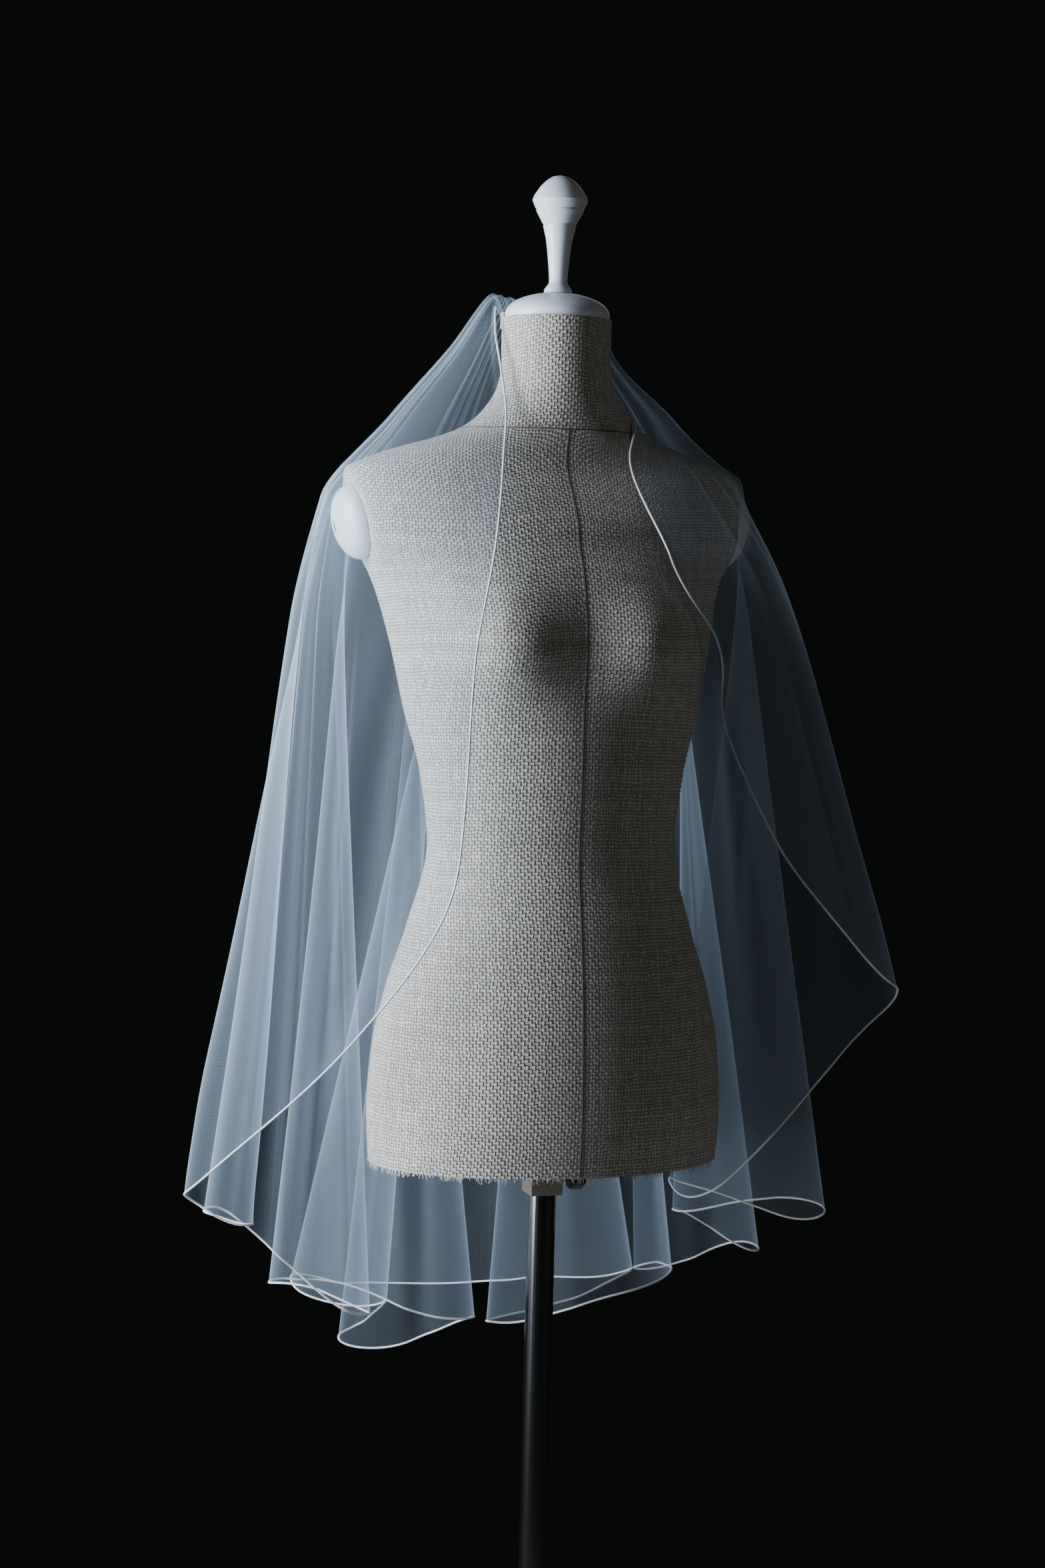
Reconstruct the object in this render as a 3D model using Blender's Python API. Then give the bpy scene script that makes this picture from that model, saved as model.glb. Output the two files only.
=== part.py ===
"""A single-tier bridal veil gathered on a small comb and worn by a limbless dress form on a pole stand.

Metres, +Z up. The origin is on the floor on the pole's axis, under the base plate. The form faces -Y,
so +X is the form's own left. The form, its caps and the veil slide up and down on the pole together.
"""

import bpy
import bmesh
import numpy as np
from mathutils import Vector
from mathutils.bvhtree import BVHTree

# General
GAP = 0.0003
AXIS = (0.0, 0.0)
PLATE_SIDES = 48
TUBE_SIDES = 32
KNOB_SIDES = 20
FINIAL_SIDES = 20
ARM_CAP_SIDES = 24

# Stand
BASE_RADIUS = 0.175
BASE_THICK = 0.006
BASE_EDGE = 0.0015
COLLAR_RADIUS = 0.024
COLLAR_HEIGHT = 0.032
COLLAR_TAPER_HEIGHT = 0.006
COLLAR_TAPER = 0.005
POLE_RADIUS = 0.014
POLE_TOP = 1.000
BORE_RADIUS = 0.0152
BORE_TOP = 1.120
BLOCK_SIDE = 0.032
BLOCK_LOW = 0.714
KNOB_RADIUS = 0.0125
KNOB_LENGTH = 0.017
KNOB_HEIGHT = 0.729
KNOB_STEM_RADIUS = 0.004
KNOB_STEM_LENGTH = 0.010
KNOB_NEAR_ROUNDING = 0.002
KNOB_FAR_ROUNDING = 0.004

# Dress form
FORM_LOW = 0.750
NECK_BACK = 0.024
NECK_RADIUS = 0.0536
NECK_TOP = 1.575
FORM_SIDES = 36
FORM_EXTRA_ROWS = (0.775, 1.36, 0.035)
FORM_LEAST_STEP = 0.009
BUST_OUT = 0.024
BUST_SIDE = 0.078
BUST_HEIGHT = 1.262
BUST_SPREAD = 0.052
BUST_FADE_DEPTH = 0.05
ARM_PLATE_OUT = 0.190
ARM_PLATE_BACK = 0.054
ARM_PLATE_HEIGHT = 1.372
ARM_PLATE_TILT = np.radians(14.0)
ARM_PLATE_REACH = 0.075
ARM_CAP_HALF_HEIGHT = 0.037
ARM_CAP_HALF_DEPTH = 0.041
ARM_CAP_DOME = 0.023
ARM_CAP_RINGS = ((1.0, 0.0), (1.0, 0.14), (0.95, 0.42), (0.82, 0.68), (0.60, 0.87), (0.30, 0.98))
NECK_CAP_RADIUS = 0.0513
NECK_CAP_SKIRT = 0.008
NECK_CAP_HEIGHT = 0.025
NECK_CAP_TURN = np.radians(76.0)
NECK_CAP_RINGS = 6

# Comb
COMB_WRAP = np.radians(60.0)
COMB_SEAT = 0.0005
COMB_BAR_LOW = 1.566
COMB_BAR_HIGH = 1.582
COMB_THICK = 0.0030
COMB_TEETH = 15
COMB_TOOTH_LOW = 1.540
COMB_TOOTH_THICK = 0.0014
COMB_TOOTH_WIDTH = 0.0018

# Veil
TULLE_WALL = 0.0015
CORD_RADIUS = 0.0014
CORD_GAP = 0.0007
CLEARANCE = 0.0040
CLEARING_PASSES = 5
CLEARING_SHARES = (0.25, 0.50, 0.75)
INSIDE_SHARE = 0.5
FOLD_TURN = np.radians(18.0)
GATHERS = 13
GATHER_SHARES = (0.0, 0.05, 0.12, 0.20, 0.28, 0.36)
GATHER_HEIGHTS = (0.0006, 0.0018, 0.0032, 0.0042, 0.0028, 0.0)
GATHER_UNEVEN = 0.35
GATHER_UNEVEN_TURNS = 2.3
GATHER_FADES = (0.05, 0.25)
FOLDS_FROM = 0.20
HEM_SOFTENING = 1
HEM_ROUNDING = 0.8
HEM_ROUNDED_DEPTH = 0.15
CORD_FIRST_ROW = 2

# Dress form's sections: height, half width, reach to the front, reach to the back, centre's shift back
FORM_SECTIONS = (
    ("lower edge", 0.750, 0.1765, 0.116, 0.122, 0.000),
    ("hip", 0.800, 0.1790, 0.119, 0.126, 0.000),
    ("upper hip", 0.860, 0.1750, 0.117, 0.126, 0.000),
    ("high hip", 0.920, 0.1625, 0.112, 0.119, 0.000),
    ("belly", 0.980, 0.1430, 0.103, 0.106, 0.000),
    ("waist", 1.060, 0.1245, 0.089, 0.087, 0.000),
    ("ribs", 1.130, 0.1325, 0.096, 0.090, 0.004),
    ("under bust", 1.190, 0.1480, 0.104, 0.095, 0.012),
    ("bust", 1.260, 0.1620, 0.120, 0.096, 0.024),
    ("armpit", 1.322, 0.1790, 0.126, 0.082, 0.044),
    ("chest", 1.365, 0.2140, 0.122, 0.064, 0.060),
    ("shoulder", 1.405, 0.2140, 0.098, 0.054, 0.060),
    ("shoulder edge", 1.424, 0.2040, 0.078, 0.048, 0.055),
    ("shoulder slope", 1.435, 0.1830, 0.068, 0.047, 0.049),
    ("shoulder line", 1.445, 0.1560, 0.062, 0.048, 0.043),
    ("shoulder top", 1.456, 0.1190, 0.056, 0.051, 0.034),
    ("neck root", 1.468, 0.0910, 0.054, 0.055, 0.028),
    ("neck curve", 1.485, 0.0715, 0.054, 0.057, 0.025),
    ("lower neck", 1.507, 0.0580, 0.054, 0.056, 0.024),
    ("neck", 1.530, NECK_RADIUS, NECK_RADIUS, NECK_RADIUS, NECK_BACK),
    ("neck top", NECK_TOP, NECK_RADIUS, NECK_RADIUS, NECK_RADIUS, NECK_BACK),
)

# Turned finial: height above the neck cap's top, radius
FINIAL_PROFILE = (
    (0.0000, 0.0138),
    (0.0034, 0.0134),
    (0.0066, 0.0112),
    (0.0090, 0.0092),
    (0.0126, 0.0088),
    (0.0241, 0.0096),
    (0.0413, 0.0114),
    (0.0539, 0.0132),
    (0.0650, 0.0160),
    (0.0664, 0.0153),
    (0.0680, 0.0168),
    (0.0797, 0.0231),
    (0.0811, 0.0222),
    (0.0826, 0.0240),
    (0.0900, 0.0271),
    (0.0946, 0.0254),
    (0.1032, 0.0197),
    (0.1089, 0.0140),
    (0.1127, 0.0084),
    (0.1144, 0.0040),
)

# Veil's drape rings, from the comb down, each at a share of the cloth's length. The five stations run
# round the form from the front edge on its right (start) by its right side, back and left side to the
# other front edge (end). A station has an angle from the back in degrees, a reach and a height.
STATION_SHARES = (0.0, 0.10, 0.50, 0.84, 1.0)
DRAPE_RINGS = (
    (
        "comb",
        0.000,
        (-58, 0.0585, 1.579),
        (-48, 0.0585, 1.579),
        (0, 0.0585, 1.579),
        (44, 0.0585, 1.579),
        (57, 0.0585, 1.579),
    ),
    (
        "crown",
        0.035,
        (-64, 0.0620, 1.588),
        (-54, 0.0680, 1.602),
        (0, 0.0680, 1.600),
        (48, 0.0670, 1.600),
        (59, 0.0612, 1.584),
    ),
    (
        "nape",
        0.090,
        (-95, 0.0650, 1.550),
        (-75, 0.1060, 1.546),
        (0, 0.1000, 1.522),
        (60, 0.0900, 1.544),
        (65, 0.0640, 1.542),
    ),
    (
        "neck",
        0.160,
        (-120, 0.0740, 1.494),
        (-84, 0.1620, 1.480),
        (0, 0.1220, 1.448),
        (69, 0.1600, 1.482),
        (79, 0.0655, 1.490),
    ),
    (
        "shoulder",
        0.240,
        (-132, 0.0980, 1.437),
        (-83, 0.2270, 1.397),
        (0, 0.1420, 1.365),
        (81, 0.2110, 1.405),
        (127, 0.0810, 1.432),
    ),
    (
        "chest",
        0.380,
        (-140, 0.1450, 1.345),
        (-83, 0.2440, 1.270),
        (0, 0.1620, 1.215),
        (81, 0.2260, 1.290),
        (141, 0.1400, 1.342),
    ),
    (
        "bust",
        0.550,
        (-139, 0.1790, 1.235),
        (-80, 0.2520, 1.094),
        (0, 0.1870, 1.027),
        (80, 0.2280, 1.133),
        (124, 0.1715, 1.264),
    ),
    (
        "waist",
        0.780,
        (-138, 0.1870, 1.100),
        (-78, 0.2600, 0.868),
        (0, 0.2220, 0.775),
        (78, 0.2340, 0.915),
        (110, 0.1735, 1.216),
    ),
    (
        "hem",
        1.000,
        (-136, 0.1920, 0.992),
        (-76, 0.2700, 0.660),
        (0, 0.2500, 0.540),
        (76, 0.2400, 0.715),
        (106, 0.1730, 1.183),
    ),
)

# Hem folds, in the order of the hem from the form's right front edge, round the back, to its left one.
# turns is 1 where the hem doubles back and 0 where it only bends. across and back lie along and behind
# a line turned FOLD_TURN from the form's front. bow and drop move the middle of the stretch that leads
# on to the next fold. columns is how finely that stretch is cut.
HEM_FOLDS = (
    ("right front corner", 0, -0.090, -0.150, 0.992, 0.000, 0.004, 4),
    ("right edge bend", 0, -0.164, -0.130, 0.882, 0.000, -0.006, 6),
    ("right tip", 1, -0.358, -0.080, 0.720, 0.000, -0.004, 5),
    ("right pleat out", 1, -0.280, -0.050, 0.685, 0.000, 0.000, 5),
    ("right pleat in", 1, -0.334, -0.020, 0.692, 0.000, 0.000, 10),
    ("right side inner", 1, -0.170, 0.050, 0.578, 0.000, 0.005, 6),
    ("right side outer", 1, -0.279, 0.090, 0.597, 0.000, 0.003, 10),
    ("centre back right", 1, -0.067, 0.180, 0.547, 0.010, -0.018, 8),
    ("low fold outer", 1, -0.214, 0.205, 0.513, 0.000, 0.000, 5),
    ("low fold inner", 1, -0.163, 0.245, 0.545, 0.000, -0.020, 6),
    ("back fold outer", 1, -0.275, 0.310, 0.556, 0.050, -0.025, 14),
    ("back fold left", 1, 0.103, 0.340, 0.568, 0.000, -0.008, 9),
    ("pole fold", 1, -0.056, 0.145, 0.548, -0.060, 0.000, 9),
    ("narrow pleat out", 1, 0.143, 0.270, 0.586, 0.000, 0.000, 5),
    ("narrow pleat in", 1, 0.101, 0.295, 0.579, 0.036, -0.008, 7),
    ("left back outer", 1, 0.235, 0.235, 0.617, 0.000, -0.004, 6),
    ("left back inner", 1, 0.137, 0.200, 0.661, 0.018, 0.006, 7),
    ("left side outer", 1, 0.295, 0.130, 0.679, 0.000, -0.014, 7),
    ("left side inner", 1, 0.130, 0.130, 0.713, 0.010, -0.045, 11),
    ("left tip", 1, 0.358, 0.068, 0.920, 0.000, -0.004, 7),
    ("left edge bend", 0, 0.218, 0.035, 1.057, 0.000, -0.006, 5),
    ("left front corner", 0, 0.165, 0.028, 1.183, 0.000, 0.000, 0),
)

# Shares of the cloth's length at which its rows lie
ROW_SHARES = (
    (0.00, 0.02, 0.06, 0.11, 0.16, 0.195, 0.22, 0.245, 0.27)
    + (0.305, 0.36, 0.44, 0.54, 0.65, 0.76, 0.88, 1.00)
)


def clear_scene():
    """Removes the objects that the file starts with."""
    for item in list(bpy.data.objects):
        bpy.data.objects.remove(item, do_unlink=True)


def finish(name, colour, roughness, metallic=0.0):
    """A Principled material of one colour."""
    material = bpy.data.materials.new(name)
    material.use_nodes = True
    shader = material.node_tree.nodes["Principled BSDF"]
    shader.inputs["Base Color"].default_value = (*colour, 1.0)
    shader.inputs["Roughness"].default_value = roughness
    shader.inputs["Metallic"].default_value = metallic
    return material


def add_object(name, points, faces, material, sharp=35.0):
    """An object of one closed body, shaded smooth but for edges sharper than sharp degrees."""
    mesh = bpy.data.meshes.new(name)
    mesh.from_pydata([tuple(point) for point in points], [], faces)
    body = bmesh.new()
    body.from_mesh(mesh)
    bmesh.ops.recalc_face_normals(body, faces=body.faces)
    body.to_mesh(mesh)
    body.free()
    mesh.materials.append(material)
    mesh.shade_smooth()
    mesh.set_sharp_from_angle(angle=np.radians(sharp))
    item = bpy.data.objects.new(name, mesh)
    bpy.context.scene.collection.objects.link(item)
    return item


def ring_stack(rings):
    """Points and faces of a body whose rings run upwards, anticlockwise from above, with flat ends."""
    count = len(rings[0])
    points = np.concatenate(rings)
    faces = [tuple(reversed(range(count)))]
    for level in range(len(rings) - 1):
        low = level * count
        for i in range(count):
            j = (i + 1) % count
            faces.append((low + i, low + j, low + count + j, low + count + i))
    top = (len(rings) - 1) * count
    faces.append(tuple(range(top, top + count)))
    return points, faces


def circle(radius, height, sides, centre=AXIS):
    """A level ring of points, anticlockwise from above."""
    angles = np.linspace(0, 2 * np.pi, sides, endpoint=False)
    x = centre[0] + radius * np.cos(angles)
    y = centre[1] + radius * np.sin(angles)
    return np.stack([x, y, np.full(sides, height)], axis=1)


def turned(name, profile, sides, material, centre=AXIS):
    """A body turned about an upright axis from rows of height and radius."""
    rings = [circle(radius, height, sides, centre) for height, radius in profile]
    return add_object(name, *ring_stack(rings), material)


def build_stand(materials):
    """Round base plate, pole collar and pole, which stay on the floor."""
    plate = (
        (0.0, BASE_RADIUS - BASE_EDGE),
        (BASE_EDGE, BASE_RADIUS),
        (BASE_THICK - BASE_EDGE, BASE_RADIUS),
        (BASE_THICK, BASE_RADIUS - BASE_EDGE),
    )
    turned("base_plate", plate, PLATE_SIDES, materials["chrome"])
    pole_low = BASE_THICK + GAP
    tube = ((pole_low, POLE_RADIUS), (POLE_TOP, POLE_RADIUS))
    turned("pole", tube, TUBE_SIDES, materials["chrome"])
    collar_top = pole_low + COLLAR_HEIGHT
    inner = POLE_RADIUS + GAP
    rings = [
        circle(inner, pole_low, TUBE_SIDES),
        circle(COLLAR_RADIUS, pole_low, TUBE_SIDES),
        circle(COLLAR_RADIUS, collar_top - COLLAR_TAPER_HEIGHT, TUBE_SIDES),
        circle(COLLAR_RADIUS - COLLAR_TAPER, collar_top, TUBE_SIDES),
        circle(inner, collar_top, TUBE_SIDES),
    ]
    add_object("pole_collar", *ring_tube(rings), materials["chrome"])


def ring_tube(rings):
    """Points and faces of a body round a hole, whose rings run out, up, in and back to the first."""
    count = len(rings[0])
    points = np.concatenate(rings)
    faces = []
    for level in range(len(rings)):
        low = level * count
        high = ((level + 1) % len(rings)) * count
        for i in range(count):
            j = (i + 1) % count
            faces.append((low + i, low + j, high + j, high + i))
    return points, faces


def build_clamp(materials):
    """Square block under the form, bored for the pole, and the knob of its clamping screw."""
    half = BLOCK_SIDE / 2
    high = FORM_LOW - GAP
    square = square_ring(half, TUBE_SIDES)
    bore = circle(POLE_RADIUS + GAP, 0.0, TUBE_SIDES)
    rings = [lift(bore, BLOCK_LOW), lift(square, BLOCK_LOW), lift(square, high), lift(bore, high)]
    add_object("clamp_block", *ring_tube(rings), materials["block"])
    stem_start = half + GAP
    knob_start = stem_start + KNOB_STEM_LENGTH
    profile = (
        (stem_start, KNOB_STEM_RADIUS),
        (knob_start, KNOB_STEM_RADIUS),
        (knob_start, KNOB_RADIUS - KNOB_NEAR_ROUNDING),
        (knob_start + KNOB_NEAR_ROUNDING, KNOB_RADIUS),
        (knob_start + KNOB_LENGTH - KNOB_FAR_ROUNDING, KNOB_RADIUS),
        (knob_start + KNOB_LENGTH, KNOB_RADIUS - KNOB_FAR_ROUNDING),
    )
    rings = []
    for out, radius in profile:
        ring = circle(radius, 0.0, KNOB_SIDES)
        outward = np.full(KNOB_SIDES, out)
        rings.append(np.stack([outward, ring[:, 0], ring[:, 1] + KNOB_HEIGHT], axis=1))
    add_object("clamp_knob", *ring_stack(rings), materials["knob"])


def square_ring(half, sides):
    """A square outline with as many points as a circle of that many sides, in the same directions."""
    angles = np.linspace(0, 2 * np.pi, sides, endpoint=False)
    x = np.cos(angles)
    y = np.sin(angles)
    scale = half / np.maximum(np.abs(x), np.abs(y))
    return np.stack([x * scale, y * scale, np.zeros(sides)], axis=1)


def lift(ring, height):
    """A copy of a level ring at another height."""
    moved = ring.copy()
    moved[:, 2] = height
    return moved


def smooth_rows(knots, values, places):
    """Values between knots on a cubic curve that doesn't overshoot, for whole rows of values at once."""
    knots = np.asarray(knots, float)
    values = np.asarray(values, float)
    steps = np.diff(knots)
    steps = steps.reshape((-1,) + (1,) * (values.ndim - 1))
    slopes = np.diff(values, axis=0) / steps
    tangents = np.zeros_like(values)
    tangents[0] = slopes[0]
    tangents[-1] = slopes[-1]
    before, after = slopes[:-1], slopes[1:]
    weight_before = steps[:-1] + 2 * steps[1:]
    weight_after = 2 * steps[:-1] + steps[1:]
    same_way = before * after > 0
    safe_before = np.where(same_way, before, 1.0)
    safe_after = np.where(same_way, after, 1.0)
    mean = (weight_before + weight_after) / (weight_before / safe_after + weight_after / safe_before)
    tangents[1:-1] = np.where(same_way, mean, 0.0)
    index = np.clip(np.searchsorted(knots, places, side="right") - 1, 0, len(knots) - 2)
    step = steps[index]
    t = ((np.asarray(places) - knots[index]).reshape(step.shape)) / step
    return (
        (1 + 2 * t) * (1 - t) ** 2 * values[index]
        + t * (1 - t) ** 2 * step * tangents[index]
        + t**2 * (3 - 2 * t) * values[index + 1]
        + t**2 * (t - 1) * step * tangents[index + 1]
    )


def form_rings():
    """The dress form's outer rings, with a soft bust and flat plates where the arms would start."""
    table = np.array([row[1:] for row in FORM_SECTIONS])
    heights = np.unique(np.concatenate([table[:, 0], np.arange(*FORM_EXTRA_ROWS)]))
    heights = heights[np.concatenate([[True], np.diff(heights) > FORM_LEAST_STEP])]
    rows = smooth_rows(table[:, 0], table[:, 1:], heights)
    angles = np.linspace(0, 2 * np.pi, FORM_SIDES, endpoint=False)
    rings = []
    for height, (half, front, back, shift) in zip(heights, rows):
        depth = np.where(np.sin(angles) < 0, front, back)
        across = half * np.cos(angles)
        backward = shift + depth * np.sin(angles)
        level = np.full(FORM_SIDES, height)
        rings.append(arm_plates(bust(np.stack([across, backward, level], axis=1))))
    return rings


def bust(ring):
    """Moves the front of a ring forward in two soft mounds."""
    side = (np.abs(ring[:, 0]) - BUST_SIDE) / BUST_SPREAD
    up = (ring[:, 2] - BUST_HEIGHT) / BUST_SPREAD
    front = np.clip(-ring[:, 1] / BUST_FADE_DEPTH, 0.0, 1.0)
    ring[:, 1] -= BUST_OUT * front * np.exp(-(side**2) - up**2)
    return ring


def arm_plate_axis(side):
    """Centre and outward direction of the flat plate where an arm would start."""
    centre = np.array([side * ARM_PLATE_OUT, ARM_PLATE_BACK, ARM_PLATE_HEIGHT])
    outward = np.array([side * np.cos(ARM_PLATE_TILT), 0.0, -np.sin(ARM_PLATE_TILT)])
    return centre, outward


def plate_lines(side):
    """Directions up and along the plate where an arm would start."""
    _, outward = arm_plate_axis(side)
    up = np.array([side * np.sin(ARM_PLATE_TILT), 0.0, np.cos(ARM_PLATE_TILT)])
    return up, np.cross(up, outward)


def arm_plates(ring):
    """Flattens what stands proud of the two arm plates."""
    for side in (-1, 1):
        centre, outward = arm_plate_axis(side)
        level = centre[2] - ring[0, 2] < ARM_PLATE_REACH
        proud = np.maximum((ring - centre) @ outward, 0.0) * level
        ring = ring - proud[:, None] * outward
    return ring


def build_form(materials):
    """Linen-covered body, bored from below for the pole."""
    rings = form_rings()
    bore_low = circle(BORE_RADIUS, FORM_LOW, FORM_SIDES)
    bore_high = circle(BORE_RADIUS, BORE_TOP, FORM_SIDES)
    points, faces = ring_stack([bore_high, bore_low] + rings)
    form = add_object("form_body", points, faces, materials["linen"])
    skirt_low = NECK_TOP + GAP
    skirt_high = skirt_low + NECK_CAP_SKIRT
    dome = []
    for turn in np.linspace(0.0, NECK_CAP_TURN, NECK_CAP_RINGS):
        rise = (NECK_CAP_HEIGHT - NECK_CAP_SKIRT) * np.sin(turn) / np.sin(NECK_CAP_TURN)
        dome.append((skirt_high + rise, NECK_CAP_RADIUS * np.cos(turn)))
    profile = [(skirt_low, NECK_CAP_RADIUS)] + dome
    cap = turned("neck_cap", profile, TUBE_SIDES, materials["cap"], (0.0, NECK_BACK))
    finial_low = profile[-1][0] + GAP
    finial = [(finial_low + rise, radius) for rise, radius in FINIAL_PROFILE]
    turned("finial", finial, FINIAL_SIDES, materials["cap"], (0.0, NECK_BACK))
    for side in (-1, 1):
        build_arm_cap(side, materials)
    return [form, cap]


def build_arm_cap(side, materials):
    """Domed oval cap on one arm plate."""
    centre, outward = arm_plate_axis(side)
    up, along = plate_lines(side)
    angles = np.linspace(0, 2 * np.pi, ARM_CAP_SIDES, endpoint=False)
    rings = []
    for share, rise in ARM_CAP_RINGS:
        across = ARM_CAP_HALF_DEPTH * share * np.cos(angles)[:, None] * along
        upright = ARM_CAP_HALF_HEIGHT * share * np.sin(angles)[:, None] * up
        rings.append(centre + across + upright + (GAP + ARM_CAP_DOME * rise) * outward)
    name = "arm_cap_right" if side < 0 else "arm_cap_left"
    return add_object(name, *ring_stack(rings), materials["cap"])


def build_comb(materials):
    """Curved comb behind the neck: a bar with a row of thinner teeth below it, all one body."""
    inner = NECK_RADIUS + COMB_SEAT
    tooth_turn = COMB_TOOTH_WIDTH / inner
    starts = np.linspace(-COMB_WRAP, COMB_WRAP - tooth_turn, COMB_TEETH)
    angles = np.stack([starts, starts + tooth_turn], axis=1).ravel()
    section = (
        (inner, COMB_BAR_LOW),
        (inner, COMB_BAR_HIGH),
        (inner + COMB_THICK, COMB_BAR_HIGH),
        (inner + COMB_THICK, COMB_BAR_LOW),
        (inner + COMB_TOOTH_THICK, COMB_BAR_LOW),
    )
    tip = ((inner, COMB_TOOTH_LOW), (inner + COMB_TOOTH_THICK, COMB_TOOTH_LOW))
    points = [comb_point(angle, *place) for angle in angles for place in section]
    faces = []
    size = len(section)
    for segment in range(len(angles) - 1):
        low = segment * size
        high = low + size
        under = 4 if segment % 2 == 0 else 5
        faces += [(low + i, low + (i + 1) % size, high + (i + 1) % size, high + i) for i in range(under)]
    last = (len(angles) - 1) * size
    faces += [tuple(range(size)), tuple(range(last, last + size))]
    for tooth in range(COMB_TEETH):
        first = 2 * tooth * size
        root = (first, first + 4, first + size + 4, first + size)
        ends = [comb_point(angle, *place) for angle in angles[2 * tooth : 2 * tooth + 2] for place in tip]
        low = len(points)
        points += ends
        foot = (low, low + 1, low + 3, low + 2)
        faces += [(root[i], root[(i + 1) % 4], foot[(i + 1) % 4], foot[i]) for i in range(4)]
        faces.append(foot)
    return add_object("comb", points, faces, materials["comb"])


def comb_point(angle, reach, height):
    """A point at an angle from the back of the neck."""
    return (reach * np.sin(angle), NECK_BACK + reach * np.cos(angle), height)


def hem_line():
    """Points of the hem, and each one's share of the way along it."""
    across_line = np.array([np.cos(FOLD_TURN), -np.sin(FOLD_TURN)])
    back_line = np.array([np.sin(FOLD_TURN), np.cos(FOLD_TURN)])
    found = []
    for here, following in zip(HEM_FOLDS[:-1], HEM_FOLDS[1:]):
        name, turns, across, back, height, bow, drop, columns = here
        _, next_turns, next_across, next_back, next_height = following[:5]
        t = np.arange(columns) / columns
        ease = fold_ease(t, turns, next_turns)
        rounded = turns and next_turns and abs(next_back - back) < HEM_ROUNDED_DEPTH
        depth = fold_depth(t, HEM_ROUNDING if rounded else 0.0)
        swell = np.sin(t * np.pi)
        plan = np.outer(across + (next_across - across) * ease, across_line)
        plan += np.outer(back + (next_back - back) * depth + bow * swell, back_line)
        level = height + (next_height - height) * ease + drop * swell
        found.append(np.column_stack([plan, level]))
    name, turns, across, back, height = HEM_FOLDS[-1][:5]
    plan = across * across_line + back * back_line
    found.append(np.array([[*plan, height]]))
    hem = np.concatenate(found)
    for _ in range(HEM_SOFTENING):
        hem[1:-1] = (hem[:-2] + 2 * hem[1:-1] + hem[2:]) / 4
    return hem, np.linspace(0.0, 1.0, len(hem))


def fold_ease(t, turns, next_turns):
    """How far across a stretch of hem is after the share t of it: slow near a fold that doubles back."""
    if turns and next_turns:
        return (1 - np.cos(t * np.pi)) / 2
    if turns:
        return 1 - np.cos(t * np.pi / 2)
    if next_turns:
        return np.sin(t * np.pi / 2)
    return t


def fold_depth(t, rounding):
    """How far back a stretch of hem is after the share t of it: faster near both folds, to open them."""
    return t + rounding * np.sin(2 * np.pi * t) / (2 * np.pi)


def drape_rings(along):
    """Smooth rings of the draped cloth without its hem folds: an array of rings by places by x, y, z."""
    rings = []
    for ring in DRAPE_RINGS:
        stations = np.array(ring[2:], float)
        angle, reach, height = smooth_rows(STATION_SHARES, stations, along).T
        angle = np.radians(angle)
        rings.append(np.stack([reach * np.sin(angle), NECK_BACK + reach * np.cos(angle), height], axis=1))
    return np.array(rings)


def veil_surface(shares):
    """Middle surface of the veil, as an array of rows by columns by x, y, z."""
    hem, along = hem_line()
    rings = drape_rings(along)
    levels = [ring[1] for ring in DRAPE_RINGS]
    surface = smooth_rows(levels, rings, shares)
    fold_growth = np.clip((shares - FOLDS_FROM) / (1 - FOLDS_FROM), 0.0, 1.0)
    surface += fold_growth[:, None, None] * (hem - rings[-1])
    return surface + gathers(surface, shares, along)


def gathers(surface, shares, along):
    """Soft gathers that fan from the comb, as moves square to the cloth."""
    height = np.interp(shares, GATHER_SHARES, GATHER_HEIGHTS)
    unevenness = GATHER_UNEVEN * np.sin(2 * np.pi * GATHER_UNEVEN_TURNS * along)
    phase = 2 * np.pi * (GATHERS * along + unevenness)
    fade = np.clip(np.minimum(along / GATHER_FADES[0], (1 - along) / GATHER_FADES[1]), 0.0, 1.0)
    wave = (1 + np.sin(phase)) * fade
    return normals_of(surface) * (height[:, None] * wave[None, :] / 2)[:, :, None]


def normals_of(surface):
    """Unit directions square to a surface, pointing away from the form."""
    across = np.gradient(surface, axis=1)
    down = np.gradient(surface, axis=0)
    normal = np.cross(across, down)
    return -normal / np.maximum(np.linalg.norm(normal, axis=2, keepdims=True), 1e-9)


def keep_clear(surface, solids):
    """Lifts the cloth, at its points and between them, clear of the form and its caps."""
    trees = [nearest_tree(solid) for solid in solids]
    moved = surface.copy()
    for _ in range(CLEARING_PASSES):
        moved += lifts(moved, trees)
        for share in CLEARING_SHARES:
            down = lifts(moved[:-1] * (1 - share) + moved[1:] * share, trees)
            moved[:-1] += down * (1 - share)
            moved[1:] += down * share
        across = lifts((moved[:, 1:] + moved[:, :-1]) / 2, trees)
        moved[:, 1:] += across / 2
        moved[:, :-1] += across / 2
    return moved


def nearest_tree(solid):
    """A search tree of a solid's faces."""
    points = [vertex.co for vertex in solid.data.vertices]
    faces = [polygon.vertices for polygon in solid.data.polygons]
    return BVHTree.FromPolygons(points, faces)


def lifts(surface, trees):
    """The moves that bring each point to its clearance from the form, its neck cap and its arm caps."""
    moved = surface.copy()
    for place in np.ndindex(surface.shape[:2]):
        point = Vector(surface[place])
        for tree in trees:
            nearest, normal, _, distance = tree.find_nearest(point)
            inside = (point - nearest).dot(normal) < -INSIDE_SHARE * distance
            if distance < CLEARANCE or inside:
                point = nearest + normal * CLEARANCE
        moved[place] = point
    for side in (-1, 1):
        moved = clear_of_cap(moved, side)
    return moved - surface


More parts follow.
